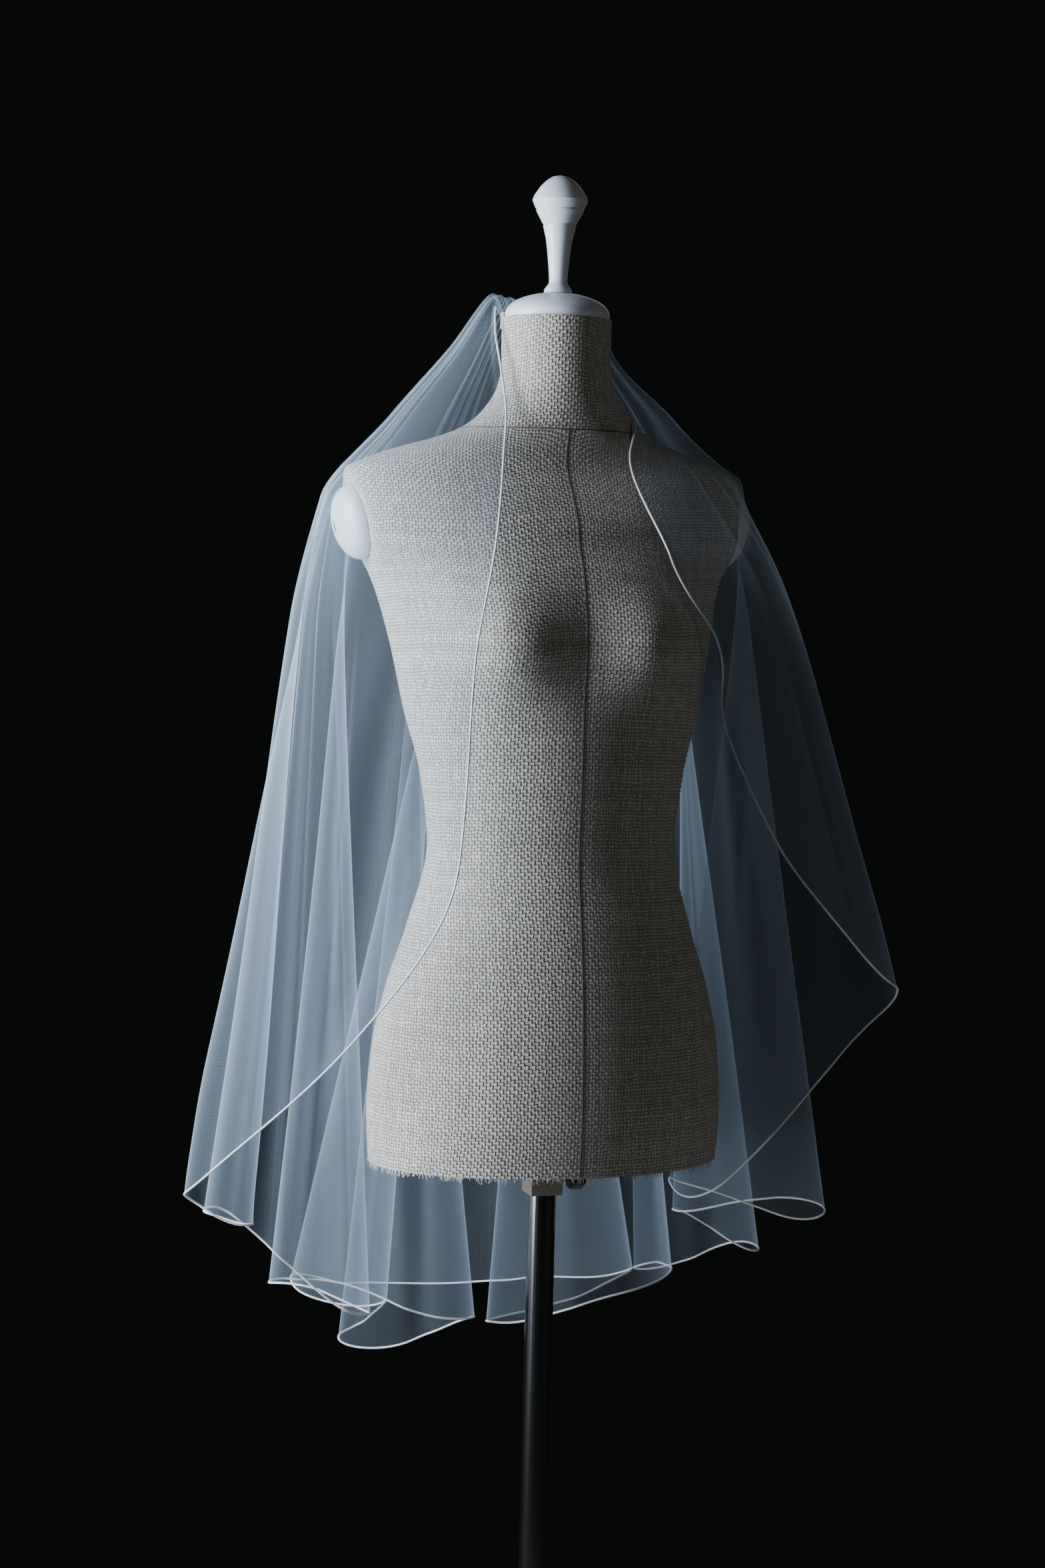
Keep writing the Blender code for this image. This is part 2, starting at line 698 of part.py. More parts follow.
def clear_of_cap(surface, side):
    """Lifts what lies in or close to an arm cap straight out from its plate."""
    centre, outward = arm_plate_axis(side)
    up, along = plate_lines(side)
    from_centre = surface - centre
    upright = from_centre @ up / (ARM_CAP_HALF_HEIGHT + CLEARANCE)
    across = from_centre @ along / (ARM_CAP_HALF_DEPTH + CLEARANCE)
    out = from_centre @ outward
    dome = np.sqrt(np.clip(1 - upright**2 - across**2, 0.0, None))
    wanted = np.where(dome > 0, (ARM_CAP_DOME + CLEARANCE) * dome, -1.0)
    short = np.where(out > -ARM_CAP_DOME, np.maximum(wanted - out, 0.0), 0.0)
    return surface + short[:, :, None] * outward


def build_veil(solids, materials):
    """The tulle, one sheet from the comb to the hem, and the satin cord sewn round its free edge."""
    shares = np.array(ROW_SHARES, float)
    surface = keep_clear(veil_surface(shares), solids)
    rows, columns = surface.shape[:2]
    faces = []
    for row in range(rows - 1):
        for column in range(columns - 1):
            a = row * columns + column
            faces.append((a, a + columns, a + columns + 1, a + 1))
    sheet = add_object("veil_tulle", surface.reshape(-1, 3), faces, materials["tulle"])
    wall = sheet.modifiers.new("wall", "SOLIDIFY")
    wall.thickness = TULLE_WALL
    wall.offset = 0.0
    build_edge_cord(surface, materials)
    return sheet


def build_edge_cord(surface, materials):
    """A cord just outside the cloth's two front edges and hem, of a four-sided section."""
    offset = CORD_RADIUS + CORD_GAP
    start_out = surface[:, 0] - surface[:, 1]
    end_out = surface[:, -1] - surface[:, -2]
    hem_out = surface[-1] - surface[-2]
    hem_out[0] += start_out[-1] / np.linalg.norm(start_out[-1]) * np.linalg.norm(hem_out[0])
    hem_out[-1] += end_out[-1] / np.linalg.norm(end_out[-1]) * np.linalg.norm(hem_out[-1])
    sides = slice(CORD_FIRST_ROW, -1)
    line = np.concatenate([surface[sides, 0], surface[-1], surface[sides, -1][::-1]])
    out = np.concatenate([start_out[sides], hem_out, end_out[sides][::-1]])
    tangent = np.gradient(line, axis=0)
    tangent /= np.linalg.norm(tangent, axis=1, keepdims=True)
    out -= np.sum(out * tangent, axis=1, keepdims=True) * tangent
    out /= np.linalg.norm(out, axis=1, keepdims=True)
    aside = np.cross(tangent, out)
    centre = line + out * offset
    rings = []
    for place, outward, sideways in zip(centre, out, aside):
        corners = (outward, sideways, -outward, -sideways)
        rings.append(np.array([place + CORD_RADIUS * corner for corner in corners]))
    add_object("veil_edge_cord", *ring_stack(rings), materials["cord"])


def main():
    """Builds every piece."""
    clear_scene()
    materials = {
        "chrome": finish("polished_chrome_tube", (0.62, 0.62, 0.63), 0.12, 1.0),
        "block": finish("grey_beige_block", (0.34, 0.32, 0.27), 0.6),
        "knob": finish("black_clamp_knob", (0.012, 0.012, 0.013), 0.45),
        "linen": finish("undyed_linen_cover", (0.56, 0.53, 0.48), 0.9),
        "cap": finish("satin_white_plastic", (0.86, 0.86, 0.86), 0.35),
        "comb": finish("ivory_comb", (0.82, 0.78, 0.66), 0.5),
        "tulle": finish("sheer_white_tulle", (0.80, 0.85, 0.92), 0.8),
        "cord": finish("white_satin_cord", (0.92, 0.94, 0.96), 0.45),
    }
    build_stand(materials)
    build_clamp(materials)
    solids = build_form(materials)
    build_comb(materials)
    build_veil(solids, materials)


main()
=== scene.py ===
"""A single-tier bridal veil of white tulle on a small comb, worn by a linen dress form on a pole stand."""

import bpy
import numpy as np
from mathutils import Matrix, Vector


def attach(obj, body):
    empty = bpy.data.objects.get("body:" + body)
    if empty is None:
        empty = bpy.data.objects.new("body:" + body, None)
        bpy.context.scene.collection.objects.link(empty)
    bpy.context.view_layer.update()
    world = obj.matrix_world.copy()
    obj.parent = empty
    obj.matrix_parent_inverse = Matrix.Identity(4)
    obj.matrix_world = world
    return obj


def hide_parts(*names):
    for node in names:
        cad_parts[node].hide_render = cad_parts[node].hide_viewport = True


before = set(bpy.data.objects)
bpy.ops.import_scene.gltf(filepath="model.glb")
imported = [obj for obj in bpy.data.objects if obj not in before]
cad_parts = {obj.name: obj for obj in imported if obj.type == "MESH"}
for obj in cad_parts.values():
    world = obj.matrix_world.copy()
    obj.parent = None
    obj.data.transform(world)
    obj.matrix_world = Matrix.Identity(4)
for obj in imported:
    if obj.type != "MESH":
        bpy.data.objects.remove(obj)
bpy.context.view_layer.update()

# Camera
# The photograph was taken from about 3 m off, at chest height and a little to the form's right of straight
# ahead, looking slightly down.
CAMERA_PLACE = (-0.905, -2.787, 1.300)
SWING, TIP, ROLL = np.radians((-17.41, 90 - 3.53, 1.45))
SENSOR_MM = 36.0
FOCAL_PIXELS = 4480
PICTURE_WIDTH_PIXELS = 1568

camera_data = bpy.data.cameras.new("photograph_view")
camera_data.sensor_fit = "HORIZONTAL"
camera_data.sensor_width = SENSOR_MM
camera_data.lens = SENSOR_MM * FOCAL_PIXELS / PICTURE_WIDTH_PIXELS
camera = bpy.data.objects.new("photograph_view", camera_data)
bpy.context.scene.collection.objects.link(camera)
camera.matrix_world = (
    Matrix.Translation(CAMERA_PLACE)
    @ Matrix.Rotation(SWING, 4, "Z")
    @ Matrix.Rotation(TIP, 4, "X")
    @ Matrix.Rotation(ROLL, 4, "Z")
)
bpy.context.scene.camera = camera

# Floor and studio light
# A round pale floor in a dark room, with one tall soft lamp close by on the camera's left, a weak one further
# off on its right and one behind.
FLOOR_RADIUS = 0.62
FLOOR_THICK = 0.02
FLOOR_SIDES = 128
ROOM_COLOUR = "262A28"
ROOM_STRENGTH = 0.19

# name, place, the point that it faces, width and height, watts, colour
LAMPS = (
    ("key_lamp", (-1.35, -0.06, 1.30), (0.0, 0.0, 1.10), (0.6, 1.6), 68.0, "EDF4FF"),
    ("fill_lamp", (2.6, -2.6, 1.6), (0.0, 0.0, 1.00), (1.8, 1.8), 8.5, "FFF8F2"),
    ("back_lamp", (1.1, 2.8, 2.1), (0.0, 0.0, 1.00), (1.4, 1.4), 5.0, "FFF8F2"),
)


def linear(hex_colour):
    """The linear RGBA of an sRGB colour written as six hex digits: each channel by the sRGB curve."""
    channels = np.array([int(hex_colour[i : i + 2], 16) / 255 for i in (0, 2, 4)])
    curved = np.where(channels <= 0.04045, channels / 12.92, ((channels + 0.055) / 1.055) ** 2.4)
    return (*curved.tolist(), 1.0)


def new_finish(name, colour, roughness, **more):
    """A Principled material, its tree and its shader. Sockets other than colour and roughness go by name."""
    material = bpy.data.materials.new(name)
    material.use_nodes = True
    shader = material.node_tree.nodes["Principled BSDF"]
    shader.inputs["Base Color"].default_value = linear(colour)
    shader.inputs["Roughness"].default_value = roughness
    for socket, value in more.items():
        shader.inputs[socket.replace("_", " ")].default_value = value
    return material, material.node_tree, shader


def new_piece(name, points, faces, material, uv=None, smooth=True):
    """An object from an array of points and one of faces. uv holds a pair of cloth metres for each point."""
    mesh = bpy.data.meshes.new(name)
    points = np.asarray(points, np.float32).reshape(-1, 3)
    faces = np.asarray(faces, np.int32)
    count, corners = faces.shape
    mesh.vertices.add(len(points))
    mesh.vertices.foreach_set("co", points.ravel())
    mesh.loops.add(faces.size)
    mesh.loops.foreach_set("vertex_index", faces.ravel())
    mesh.polygons.add(count)
    mesh.polygons.foreach_set("loop_start", np.arange(0, faces.size, corners, dtype=np.int32))
    if uv is not None:
        layer = mesh.uv_layers.new(name="cloth_metres")
        layer.data.foreach_set("uv", np.asarray(uv, np.float32).reshape(-1, 2)[faces.ravel()].ravel())
    mesh.polygons.foreach_set("use_smooth", np.full(count, smooth))
    mesh.materials.append(material)
    mesh.update()
    mesh.validate()
    piece = bpy.data.objects.new(name, mesh)
    bpy.context.scene.collection.objects.link(piece)
    return piece


def grid_faces(rows, columns, closed=False):
    """Four-cornered faces of a grid of points, row by row. A closed grid's last column meets its first."""
    across = np.arange(columns if closed else columns - 1)
    row, column = (side.ravel() for side in np.meshgrid(np.arange(rows - 1), across, indexing="ij"))
    next_column = (column + 1) % columns
    corners = (row, column), (row, next_column), (row + 1, next_column), (row + 1, column)
    return np.stack([r * columns + c for r, c in corners], axis=1)


def add_lamp(name, place, faced_point, size, watts, colour):
    """An oblong area lamp at a place, turned to face a point."""
    lamp_data = bpy.data.lights.new(name, "AREA")
    lamp_data.shape = "RECTANGLE"
    lamp_data.size, lamp_data.size_y = size
    lamp_data.energy = watts
    lamp_data.color = linear(colour)[:3]
    lamp = bpy.data.objects.new(name, lamp_data)
    lamp.location = place
    lamp.rotation_euler = (Vector(faced_point) - Vector(place)).to_track_quat("-Z", "Y").to_euler()
    bpy.context.scene.collection.objects.link(lamp)


floor_finish, _, _ = new_finish("pale_floor", "D5D4D0", 0.7)
floor_turns = np.linspace(0, 2 * np.pi, FLOOR_SIDES, endpoint=False)
floor_radii = np.array([0.0, FLOOR_RADIUS, FLOOR_RADIUS, 0.0])
floor_heights = np.array([0.0, 0.0, -FLOOR_THICK, -FLOOR_THICK])
floor_points = np.stack(
    [
        floor_radii[:, None] * np.cos(floor_turns),
        floor_radii[:, None] * np.sin(floor_turns),
        np.repeat(floor_heights[:, None], FLOOR_SIDES, axis=1),
    ],
    axis=2,
)
floor_faces = grid_faces(len(floor_radii), FLOOR_SIDES, closed=True)[:, ::-1]
floor = new_piece("pale_floor", floor_points, floor_faces, floor_finish, smooth=False)

room = bpy.data.worlds.new("dark_studio")
room.use_nodes = True
room.node_tree.nodes["Background"].inputs["Color"].default_value = linear(ROOM_COLOUR)
room.node_tree.nodes["Background"].inputs["Strength"].default_value = ROOM_STRENGTH
bpy.context.scene.world = room
for lamp in LAMPS:
    add_lamp(*lamp)

# Stand
# A round steel base plate with a collar and a tube pole, all polished chrome, stands on the floor. The tube
# slides in a grey-beige block under the form, which a black knob clamps on it.
CHROME_BEVEL, BLOCK_BEVEL, KNOB_BEVEL = 0.0006, 0.0012, 0.0005


def dress_node(name, material, bevel):
    """A CAD node with its own finish and small rounded edges."""
    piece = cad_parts[name]
    piece.data.materials.clear()
    piece.data.materials.append(material)
    rounding = piece.modifiers.new("rounded_edges", "BEVEL")
    rounding.width = bevel
    rounding.segments = 2
    rounding.limit_method = "ANGLE"
    return piece


chrome, _, _ = new_finish("polished_chrome_tube", "C9CACC", 0.18, Metallic=1.0)
for part_name in ("base_plate", "pole", "pole_collar"):
    dress_node(part_name, chrome, CHROME_BEVEL)
block_finish, _, _ = new_finish("grey_beige_block", "8E887A", 0.55)
dress_node("clamp_block", block_finish, BLOCK_BEVEL)
knob_finish, _, _ = new_finish("black_moulded_knob", "161617", 0.42)
dress_node("clamp_knob", knob_finish, KNOB_BEVEL)

# Dress form's body
# A moulded body without arms or head, covered in undyed linen in a coarse plain weave. Its front and back
# panels meet at the sides, and its neck piece at a level seam.
NECK_BACK = 0.024
NECK_RADIUS = 0.0536
NECK_TOP = 1.575
FORM_LOW = 0.750
BORE_RADIUS = 0.0152
BORE_TOP = 1.120
BUST_OUT, BUST_SIDE, BUST_HEIGHT, BUST_SPREAD = 0.024, 0.078, 1.262, 0.052
BUST_FADE = 0.05
ARM_PLATE_OUT, ARM_PLATE_BACK, ARM_PLATE_HEIGHT = 0.190, 0.054, 1.372
ARM_PLATE_TILT = np.radians(14.0)
ARM_PLATE_REACH = 0.075
NECK_SEAM = 1.466
BODY_ROWS, NECK_ROWS, FORM_COLUMNS = 200, 32, 180
BORE_END_RADIUS = 0.0005
NECK_MIDDLE_RADII = (0.004, 0.0002)
# Painted shade in the weave: the dark colour is painted into the hollows between threads, the light one on
# their crowns.
LINEN_HOLLOW_SHADE, LINEN_LIGHT = "6E6A62", "E0DED8"
# The real threads lie about 1.5 to 2 mm apart, and are drawn a little coarser so that they show.
WEAVE_PITCH = 0.0033
WEAVE_RELIEF = 0.0006
THREAD_WANDER, WANDERS_A_METRE = 1.3 * WEAVE_PITCH, 90.0
SLUBS_A_METRE, SLUB_STRETCH = 300.0, 0.22
THREAD_TINTS = (0.80, 1.10)
SLUB_TINTS = (0.76, 1.10)

# name, height, half width, reach to the front, reach to the back, centre's shift back
FORM_SECTIONS = (
    ("lower edge", 0.750, 0.1765, 0.116, 0.122, 0.000),
    ("hip", 0.800, 0.1790, 0.119, 0.126, 0.000),
    ("upper hip", 0.860, 0.1750, 0.117, 0.126, 0.000),
    ("high hip", 0.920, 0.1625, 0.112, 0.119, 0.000),
    ("belly", 0.980, 0.1430, 0.103, 0.106, 0.000),
    ("waist", 1.060, 0.1245, 0.089, 0.087, 0.000),
    ("ribs", 1.130, 0.1325, 0.096, 0.090, 0.004),
    ("under bust", 1.190, 0.1480, 0.104, 0.095, 0.012),
    ("bust", 1.260, 0.1620, 0.120, 0.096, 0.024),
    ("armpit", 1.322, 0.1790, 0.126, 0.082, 0.044),
    ("chest", 1.365, 0.2140, 0.122, 0.064, 0.060),
    ("shoulder", 1.405, 0.2140, 0.098, 0.054, 0.060),
    ("shoulder edge", 1.424, 0.2040, 0.078, 0.048, 0.055),
    ("shoulder slope", 1.435, 0.1830, 0.068, 0.047, 0.049),
    ("shoulder line", 1.445, 0.1560, 0.062, 0.048, 0.043),
    ("shoulder top", 1.456, 0.1190, 0.056, 0.051, 0.034),
    ("neck root", 1.468, 0.0910, 0.054, 0.055, 0.028),
    ("neck curve", 1.485, 0.0715, 0.054, 0.057, 0.025),
    ("lower neck", 1.507, 0.0580, 0.054, 0.056, 0.024),
    ("neck", 1.530, NECK_RADIUS, NECK_RADIUS, NECK_RADIUS, NECK_BACK),
    ("neck top", NECK_TOP, NECK_RADIUS, NECK_RADIUS, NECK_RADIUS, NECK_BACK),
)


def smooth_rows(knots, values, places):
    """Values between knots, for whole rows at once, on cubic pieces. The slope at a knot is the weighted
    harmonic mean of the slopes on either side, or nought at a turn, so that no piece overshoots."""
    knots = np.asarray(knots, float)
    values = np.asarray(values, float)
    steps = np.diff(knots).reshape((-1,) + (1,) * (values.ndim - 1))
    slopes = np.diff(values, axis=0) / steps
    tangents = np.zeros_like(values)
    tangents[0] = slopes[0]
    tangents[-1] = slopes[-1]
    before, after = slopes[:-1], slopes[1:]
    weight_before = steps[:-1] + 2 * steps[1:]
    weight_after = 2 * steps[:-1] + steps[1:]
    same_way = before * after > 0
    safe_before = np.where(same_way, before, 1.0)
    safe_after = np.where(same_way, after, 1.0)
    mean = (weight_before + weight_after) / (weight_before / safe_after + weight_after / safe_before)
    tangents[1:-1] = np.where(same_way, mean, 0.0)
    index = np.clip(np.searchsorted(knots, places, side="right") - 1, 0, len(knots) - 2)
    step = steps[index]
    t = (np.asarray(places) - knots[index]).reshape(step.shape) / step
    return (
        (1 + 2 * t) * (1 - t) ** 2 * values[index]
        + t * (1 - t) ** 2 * step * tangents[index]
        + t**2 * (3 - 2 * t) * values[index + 1]
        + t**2 * (t - 1) * step * tangents[index + 1]
    )


def plate_axis(side):
    """Centre of an arm plate and its directions outward, up and along."""
    centre = np.array([side * ARM_PLATE_OUT, ARM_PLATE_BACK, ARM_PLATE_HEIGHT])
    outward = np.array([side * np.cos(ARM_PLATE_TILT), 0.0, -np.sin(ARM_PLATE_TILT)])
    up = np.array([side * np.sin(ARM_PLATE_TILT), 0.0, np.cos(ARM_PLATE_TILT)])
    return centre, outward, up, np.cross(up, outward)


def bust_lift(points):
    """How far forward the bust stands at points: two round mounds, each a bell curve of the distance."""
    side = (np.abs(points[..., 0]) - BUST_SIDE) / BUST_SPREAD
    up = (points[..., 2] - BUST_HEIGHT) / BUST_SPREAD
    front = np.clip(-points[..., 1] / BUST_FADE, 0.0, 1.0)
    return BUST_OUT * front * np.exp(-(side**2) - up**2)


def section_sizes(heights):
    """Half width, front reach, back reach and backward shift of the body at heights, as arrays like them."""
    sections = np.array([row[1:] for row in FORM_SECTIONS])
    sizes = smooth_rows(sections[:, 0], sections[:, 1:], np.ravel(heights))
    return [size.reshape(np.shape(heights)) for size in sizes.T]


def form_skin(turns, heights):
    """Points of the linen at turns and heights: half ellipses front and back, with the bust moved forward and
    what stands proud of the arm plates flattened on them. A turn is anticlockwise from the form's left."""
    turns, heights = np.broadcast_arrays(turns, heights)
    half, front, back, shift = section_sizes(heights)
    depth = np.where(np.sin(turns) < 0, front, back)
    skin = np.stack([half * np.cos(turns), shift + depth * np.sin(turns), heights], axis=-1)
    skin[..., 1] -= bust_lift(skin)
    for side in (-1, 1):
        centre, outward, _, _ = plate_axis(side)
        near = centre[2] - skin[..., 2] < ARM_PLATE_REACH
        proud = np.maximum((skin - centre) @ outward, 0.0) * near
        skin -= proud[..., None] * outward
    return skin


def arc_metres(line):
    """Distance along each line of points from its first one."""
    steps = np.linalg.norm(np.diff(line, axis=0), axis=-1)
    return np.concatenate([np.zeros_like(steps[:1]), np.cumsum(steps, axis=0)])


def add_node(tree, kind, inputs=None, **settings):
    """One shader node with its settings. Each input, by name or number, gets a plain value or is fed by
    another node's output."""
    made = tree.nodes.new(kind)
    for name, value in settings.items():
        setattr(made, name, value)
    for name, value in (inputs or {}).items():
        if isinstance(value, bpy.types.NodeSocket):
            tree.links.new(value, made.inputs[name])
        else:
            made.inputs[name].default_value = value
    return made


def reckon(tree, operation, *terms):
    """What a sum on plain numbers and other nodes' outputs comes to."""
    return add_node(tree, "ShaderNodeMath", dict(enumerate(terms)), operation=operation).outputs[0]


def reckon_vectors(tree, operation, first, second):
    """What a sum on two vectors comes to, which for a dot product is a number."""
    made = add_node(tree, "ShaderNodeVectorMath", {0: first, 1: second}, operation=operation)
    return made.outputs["Value" if operation == "DOT_PRODUCT" else "Vector"]


def between(tree, share, first, second):
    """The value that lies a share of the way from a first to a second one."""
    return add_node(tree, "ShaderNodeMix", {0: share, 2: first, 3: second}, data_type="FLOAT").outputs[0]


def carried(tree, value, found, wanted):
    """A value carried from the range that it is found in to a wanted one, and kept inside it."""
    inputs = {0: value, "From Min": found[0], "From Max": found[1], "To Min": wanted[0], "To Max": wanted[1]}
    return add_node(tree, "ShaderNodeMapRange", inputs).outputs[0]


def add_weave(tree, shader):
    """Plain weave from the cloth's own metres: warp and weft are rows of round threads, each on top in turn.
    Each thread is painted darker down its sides, as painted shade in the hollows between threads, and lighter
    on its crown. Each thread wanders by up to about a third of its spacing, and has its own tint and long
    slubs."""
    place = add_node(tree, "ShaderNodeUVMap", uv_map="cloth_metres").outputs[0]
    drift = add_node(tree, "ShaderNodeTexNoise", {0: place, "Scale": WANDERS_A_METRE, "Detail": 1.0})
    centred = reckon_vectors(tree, "SUBTRACT", drift.outputs["Color"], (0.5, 0.5, 0.5))
    wander = reckon_vectors(tree, "MULTIPLY", centred, (THREAD_WANDER, THREAD_WANDER, THREAD_WANDER))
    axes = add_node(tree, "ShaderNodeSeparateXYZ", {0: reckon_vectors(tree, "ADD", place, wander)})
    waves = []
    chances = []
    for axis in (0, 1):
        threads = reckon(tree, "MULTIPLY", axes.outputs[axis], 1 / WEAVE_PITCH)
        number = reckon(tree, "FLOOR", threads)
        own_chance = add_node(tree, "ShaderNodeTexWhiteNoise", {"W": number}, noise_dimensions="1D")
        chances.append(own_chance.outputs[0])
        waves.append(reckon(tree, "SINE", reckon(tree, "MULTIPLY", threads, np.pi)))
    warp_on_top = reckon(tree, "GREATER_THAN", reckon(tree, "MULTIPLY", waves[0], waves[1]), 0.0)
    rounds = [reckon(tree, "ABSOLUTE", wave) for wave in waves]
    height = between(tree, warp_on_top, rounds[0], rounds[1])
    # Painted shade: each thread's colour runs from the dark linen where it dips between threads to the light
    # linen on its crown.
    hollow_shading = {0: height, 6: linear(LINEN_HOLLOW_SHADE), 7: linear(LINEN_LIGHT)}
    shaded_thread_colour = add_node(tree, "ShaderNodeMix", hollow_shading, data_type="RGBA").outputs[2]
    thread_tint = carried(tree, between(tree, warp_on_top, chances[1], chances[0]), (0.0, 1.0), THREAD_TINTS)
    stretched = reckon_vectors(tree, "MULTIPLY", place, (1.0, SLUB_STRETCH, 1.0))
    slubs = add_node(tree, "ShaderNodeTexNoise", {0: stretched, "Scale": SLUBS_A_METRE, "Detail": 2.0})
    slub_tint = carried(tree, slubs.outputs[0], (0.3, 0.7), SLUB_TINTS)
    tinted = {0: 1.0, 6: shaded_thread_colour, 7: reckon(tree, "MULTIPLY", slub_tint, thread_tint)}
    colour = add_node(tree, "ShaderNodeMix", tinted, data_type="RGBA", blend_type="MULTIPLY")
    tree.links.new(colour.outputs[2], shader.inputs["Base Color"])
    bump = add_node(tree, "ShaderNodeBump", {"Strength": 1.0, "Distance": WEAVE_RELIEF, "Height": height})
    tree.links.new(bump.outputs[0], shader.inputs["Normal"])


linen, linen_tree, linen_shader = new_finish("undyed_linen_cover", "BDB8AC", 0.92)
add_weave(linen_tree, linen_shader)

half_turn = np.linspace(0, np.pi, FORM_COLUMNS // 2 + 1)
form_turns = np.concatenate([half_turn, half_turn + np.pi])
body_heights = np.linspace(FORM_LOW, NECK_SEAM, BODY_ROWS)
neck_heights = np.linspace(NECK_SEAM, NECK_TOP, NECK_ROWS)
form_points = form_skin(form_turns[None], np.concatenate([body_heights, neck_heights])[:, None])
form_points[:, -1] = form_points[:, 0]
round_metres = arc_metres(form_points.transpose(1, 0, 2)).T
panel_middles = np.repeat([FORM_COLUMNS // 4, FORM_COLUMNS // 4 + len(half_turn)], len(half_turn))
round_metres = round_metres - round_metres[:, panel_middles]
up_metres = arc_metres(form_points)
up_metres[BODY_ROWS:] -= up_metres[BODY_ROWS].copy()
unit_ring = np.stack([np.cos(form_turns), np.sin(form_turns), np.zeros_like(form_turns)], axis=1)
bore_top = np.array([0.0, 0.0, BORE_TOP])
bore_low = np.array([0.0, 0.0, FORM_LOW])
neck_middle = np.array([0.0, NECK_BACK, NECK_TOP])
bore_rows = np.stack(
    [
        bore_top + BORE_END_RADIUS * unit_ring,
        bore_top + BORE_RADIUS * unit_ring,
        bore_low + BORE_RADIUS * unit_ring,
    ]
)
neck_rows = np.stack([neck_middle + radius * unit_ring for radius in NECK_MIDDLE_RADII])
form_rows = np.concatenate([bore_rows, form_points, neck_rows])
metre_rows = np.clip(np.arange(len(form_rows)) - len(bore_rows), 0, len(form_points) - 1)
form_uv = np.stack([round_metres, up_metres], axis=2)[metre_rows]
form_faces = grid_faces(*form_rows.shape[:2])
between_panels = form_faces[:, 0] % len(form_turns) == len(half_turn) - 1
between_panels |= form_faces[:, 0] // len(form_turns) == len(bore_rows) + BODY_ROWS - 1
linen_body = new_piece("linen_form_body", form_rows, form_faces[~between_panels], linen, uv=form_uv)
linen_body.data.set_sharp_from_angle(angle=np.radians(50))
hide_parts("form_body")
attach(linen_body, "form")

# Seams, stitching and raw edge of the linen
# The cover is seamed down the middle of the front and back and round the neck's root, topstitched in white
# thread down both sides, and cut raw along the lower edge, where short threads hang.
SEAM_HALF_WIDTH = 0.0008
SEAM_HEIGHT = 0.0004
UPRIGHT_SEAM_POINTS, NECK_SEAM_POINTS = 240, 181
STITCH_LENGTH, STITCH_RADIUS, STITCH_STEP, STITCH_LIFT = 0.0030, 0.0004, 0.0050, 0.0003
STITCHED_FROM, STITCHED_TO = 0.760, 1.330
STITCH_SIDES = 6
SIDE_STITCH_TURNS = np.radians((197.0, -17.0))
RAW_THREADS = 520
RAW_THREAD_WIDTH = 0.0005
RAW_THREAD_LENGTHS = (0.0015, 0.0060)
RAW_THREAD_LEAN, RAW_THREAD_LIFT, RAW_THREAD_CURL = 0.25, 0.0002, 0.0012


def skin_frame(turns, heights):
    """Points of a line on the linen, and its unit directions along, outward and sideways."""
    line = form_skin(turns, heights)
    step = 1e-3
    across = form_skin(turns + step, heights) - form_skin(turns - step, heights)
    upward = form_skin(turns, heights + step) - form_skin(turns, heights - step)
    outward = np.cross(across, upward)
    outward /= np.linalg.norm(outward, axis=-1, keepdims=True)
    along = np.gradient(line, axis=0)
    along /= np.linalg.norm(along, axis=-1, keepdims=True)
    return line, along, outward, np.cross(along, outward)


def seam_ridge(turns, heights):
    """A seam as a low ridge with a groove in it: five points side by side, moved out from the linen."""
    line, _, outward, sideways = skin_frame(turns, heights)
    aside = np.array([-1.0, -0.55, 0.0, 0.55, 1.0]) * SEAM_HALF_WIDTH
    lift = np.array([0.05, 1.0, 0.25, 1.0, 0.05]) * SEAM_HEIGHT
    return line[:, None] + aside[:, None] * sideways[:, None] + lift[:, None] * outward[:, None]


# The seams are painted darker than the linen, as painted shade along the seam line.
seam_shade_linen, _, _ = new_finish("linen_seam_painted_shade", "6F6B63", 0.9)
upright_heights = np.linspace(FORM_LOW + 0.002, NECK_SEAM, UPRIGHT_SEAM_POINTS)
neck_turns = np.linspace(0, 2 * np.pi, NECK_SEAM_POINTS)
seam_lines = (
    ("front_seam", np.full_like(upright_heights, -np.pi / 2), upright_heights),
    ("back_seam", np.full_like(upright_heights, np.pi / 2), upright_heights),
    ("neck_seam", neck_turns, np.full_like(neck_turns, NECK_SEAM)),
)
for seam_name, turns, heights in seam_lines:
    ridge = seam_ridge(turns, heights)
    seam = new_piece(seam_name, ridge, grid_faces(*ridge.shape[:2])[:, ::-1], seam_shade_linen)
    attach(seam, "form")

white_thread, _, _ = new_finish("white_sewing_thread", "F1F1EE", 0.6)
stitch_heights = np.arange(STITCHED_FROM, STITCHED_TO, STITCH_STEP)
stitch_rings = np.array([-0.5, -0.4, 0.4, 0.5]) * STITCH_LENGTH
stitch_radii = np.array([0.2, 1.0, 1.0, 0.2]) * STITCH_RADIUS
stitch_turns = np.linspace(0, 2 * np.pi, STITCH_SIDES, endpoint=False)[:, None]
one_stitch = grid_faces(len(stitch_rings), STITCH_SIDES, closed=True)
points_a_stitch = len(stitch_rings) * STITCH_SIDES
stitch_faces = one_stitch[None] + points_a_stitch * np.arange(len(stitch_heights))[:, None, None]
for side_name, turn in zip(("right_side_stitching", "left_side_stitching"), SIDE_STITCH_TURNS):
    line, along, outward, sideways = skin_frame(np.full_like(stitch_heights, turn), stitch_heights)
    ring = np.cos(stitch_turns) * outward[:, None, None] + np.sin(stitch_turns) * sideways[:, None, None]
    on_linen = (line + STITCH_LIFT * outward)[:, None, None]
    middle = on_linen + stitch_rings[:, None, None] * along[:, None, None]
    stitches = middle + stitch_radii[:, None, None] * ring
    stitching = new_piece(side_name, stitches, stitch_faces.reshape(-1, 4), white_thread)
    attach(stitching, "form")

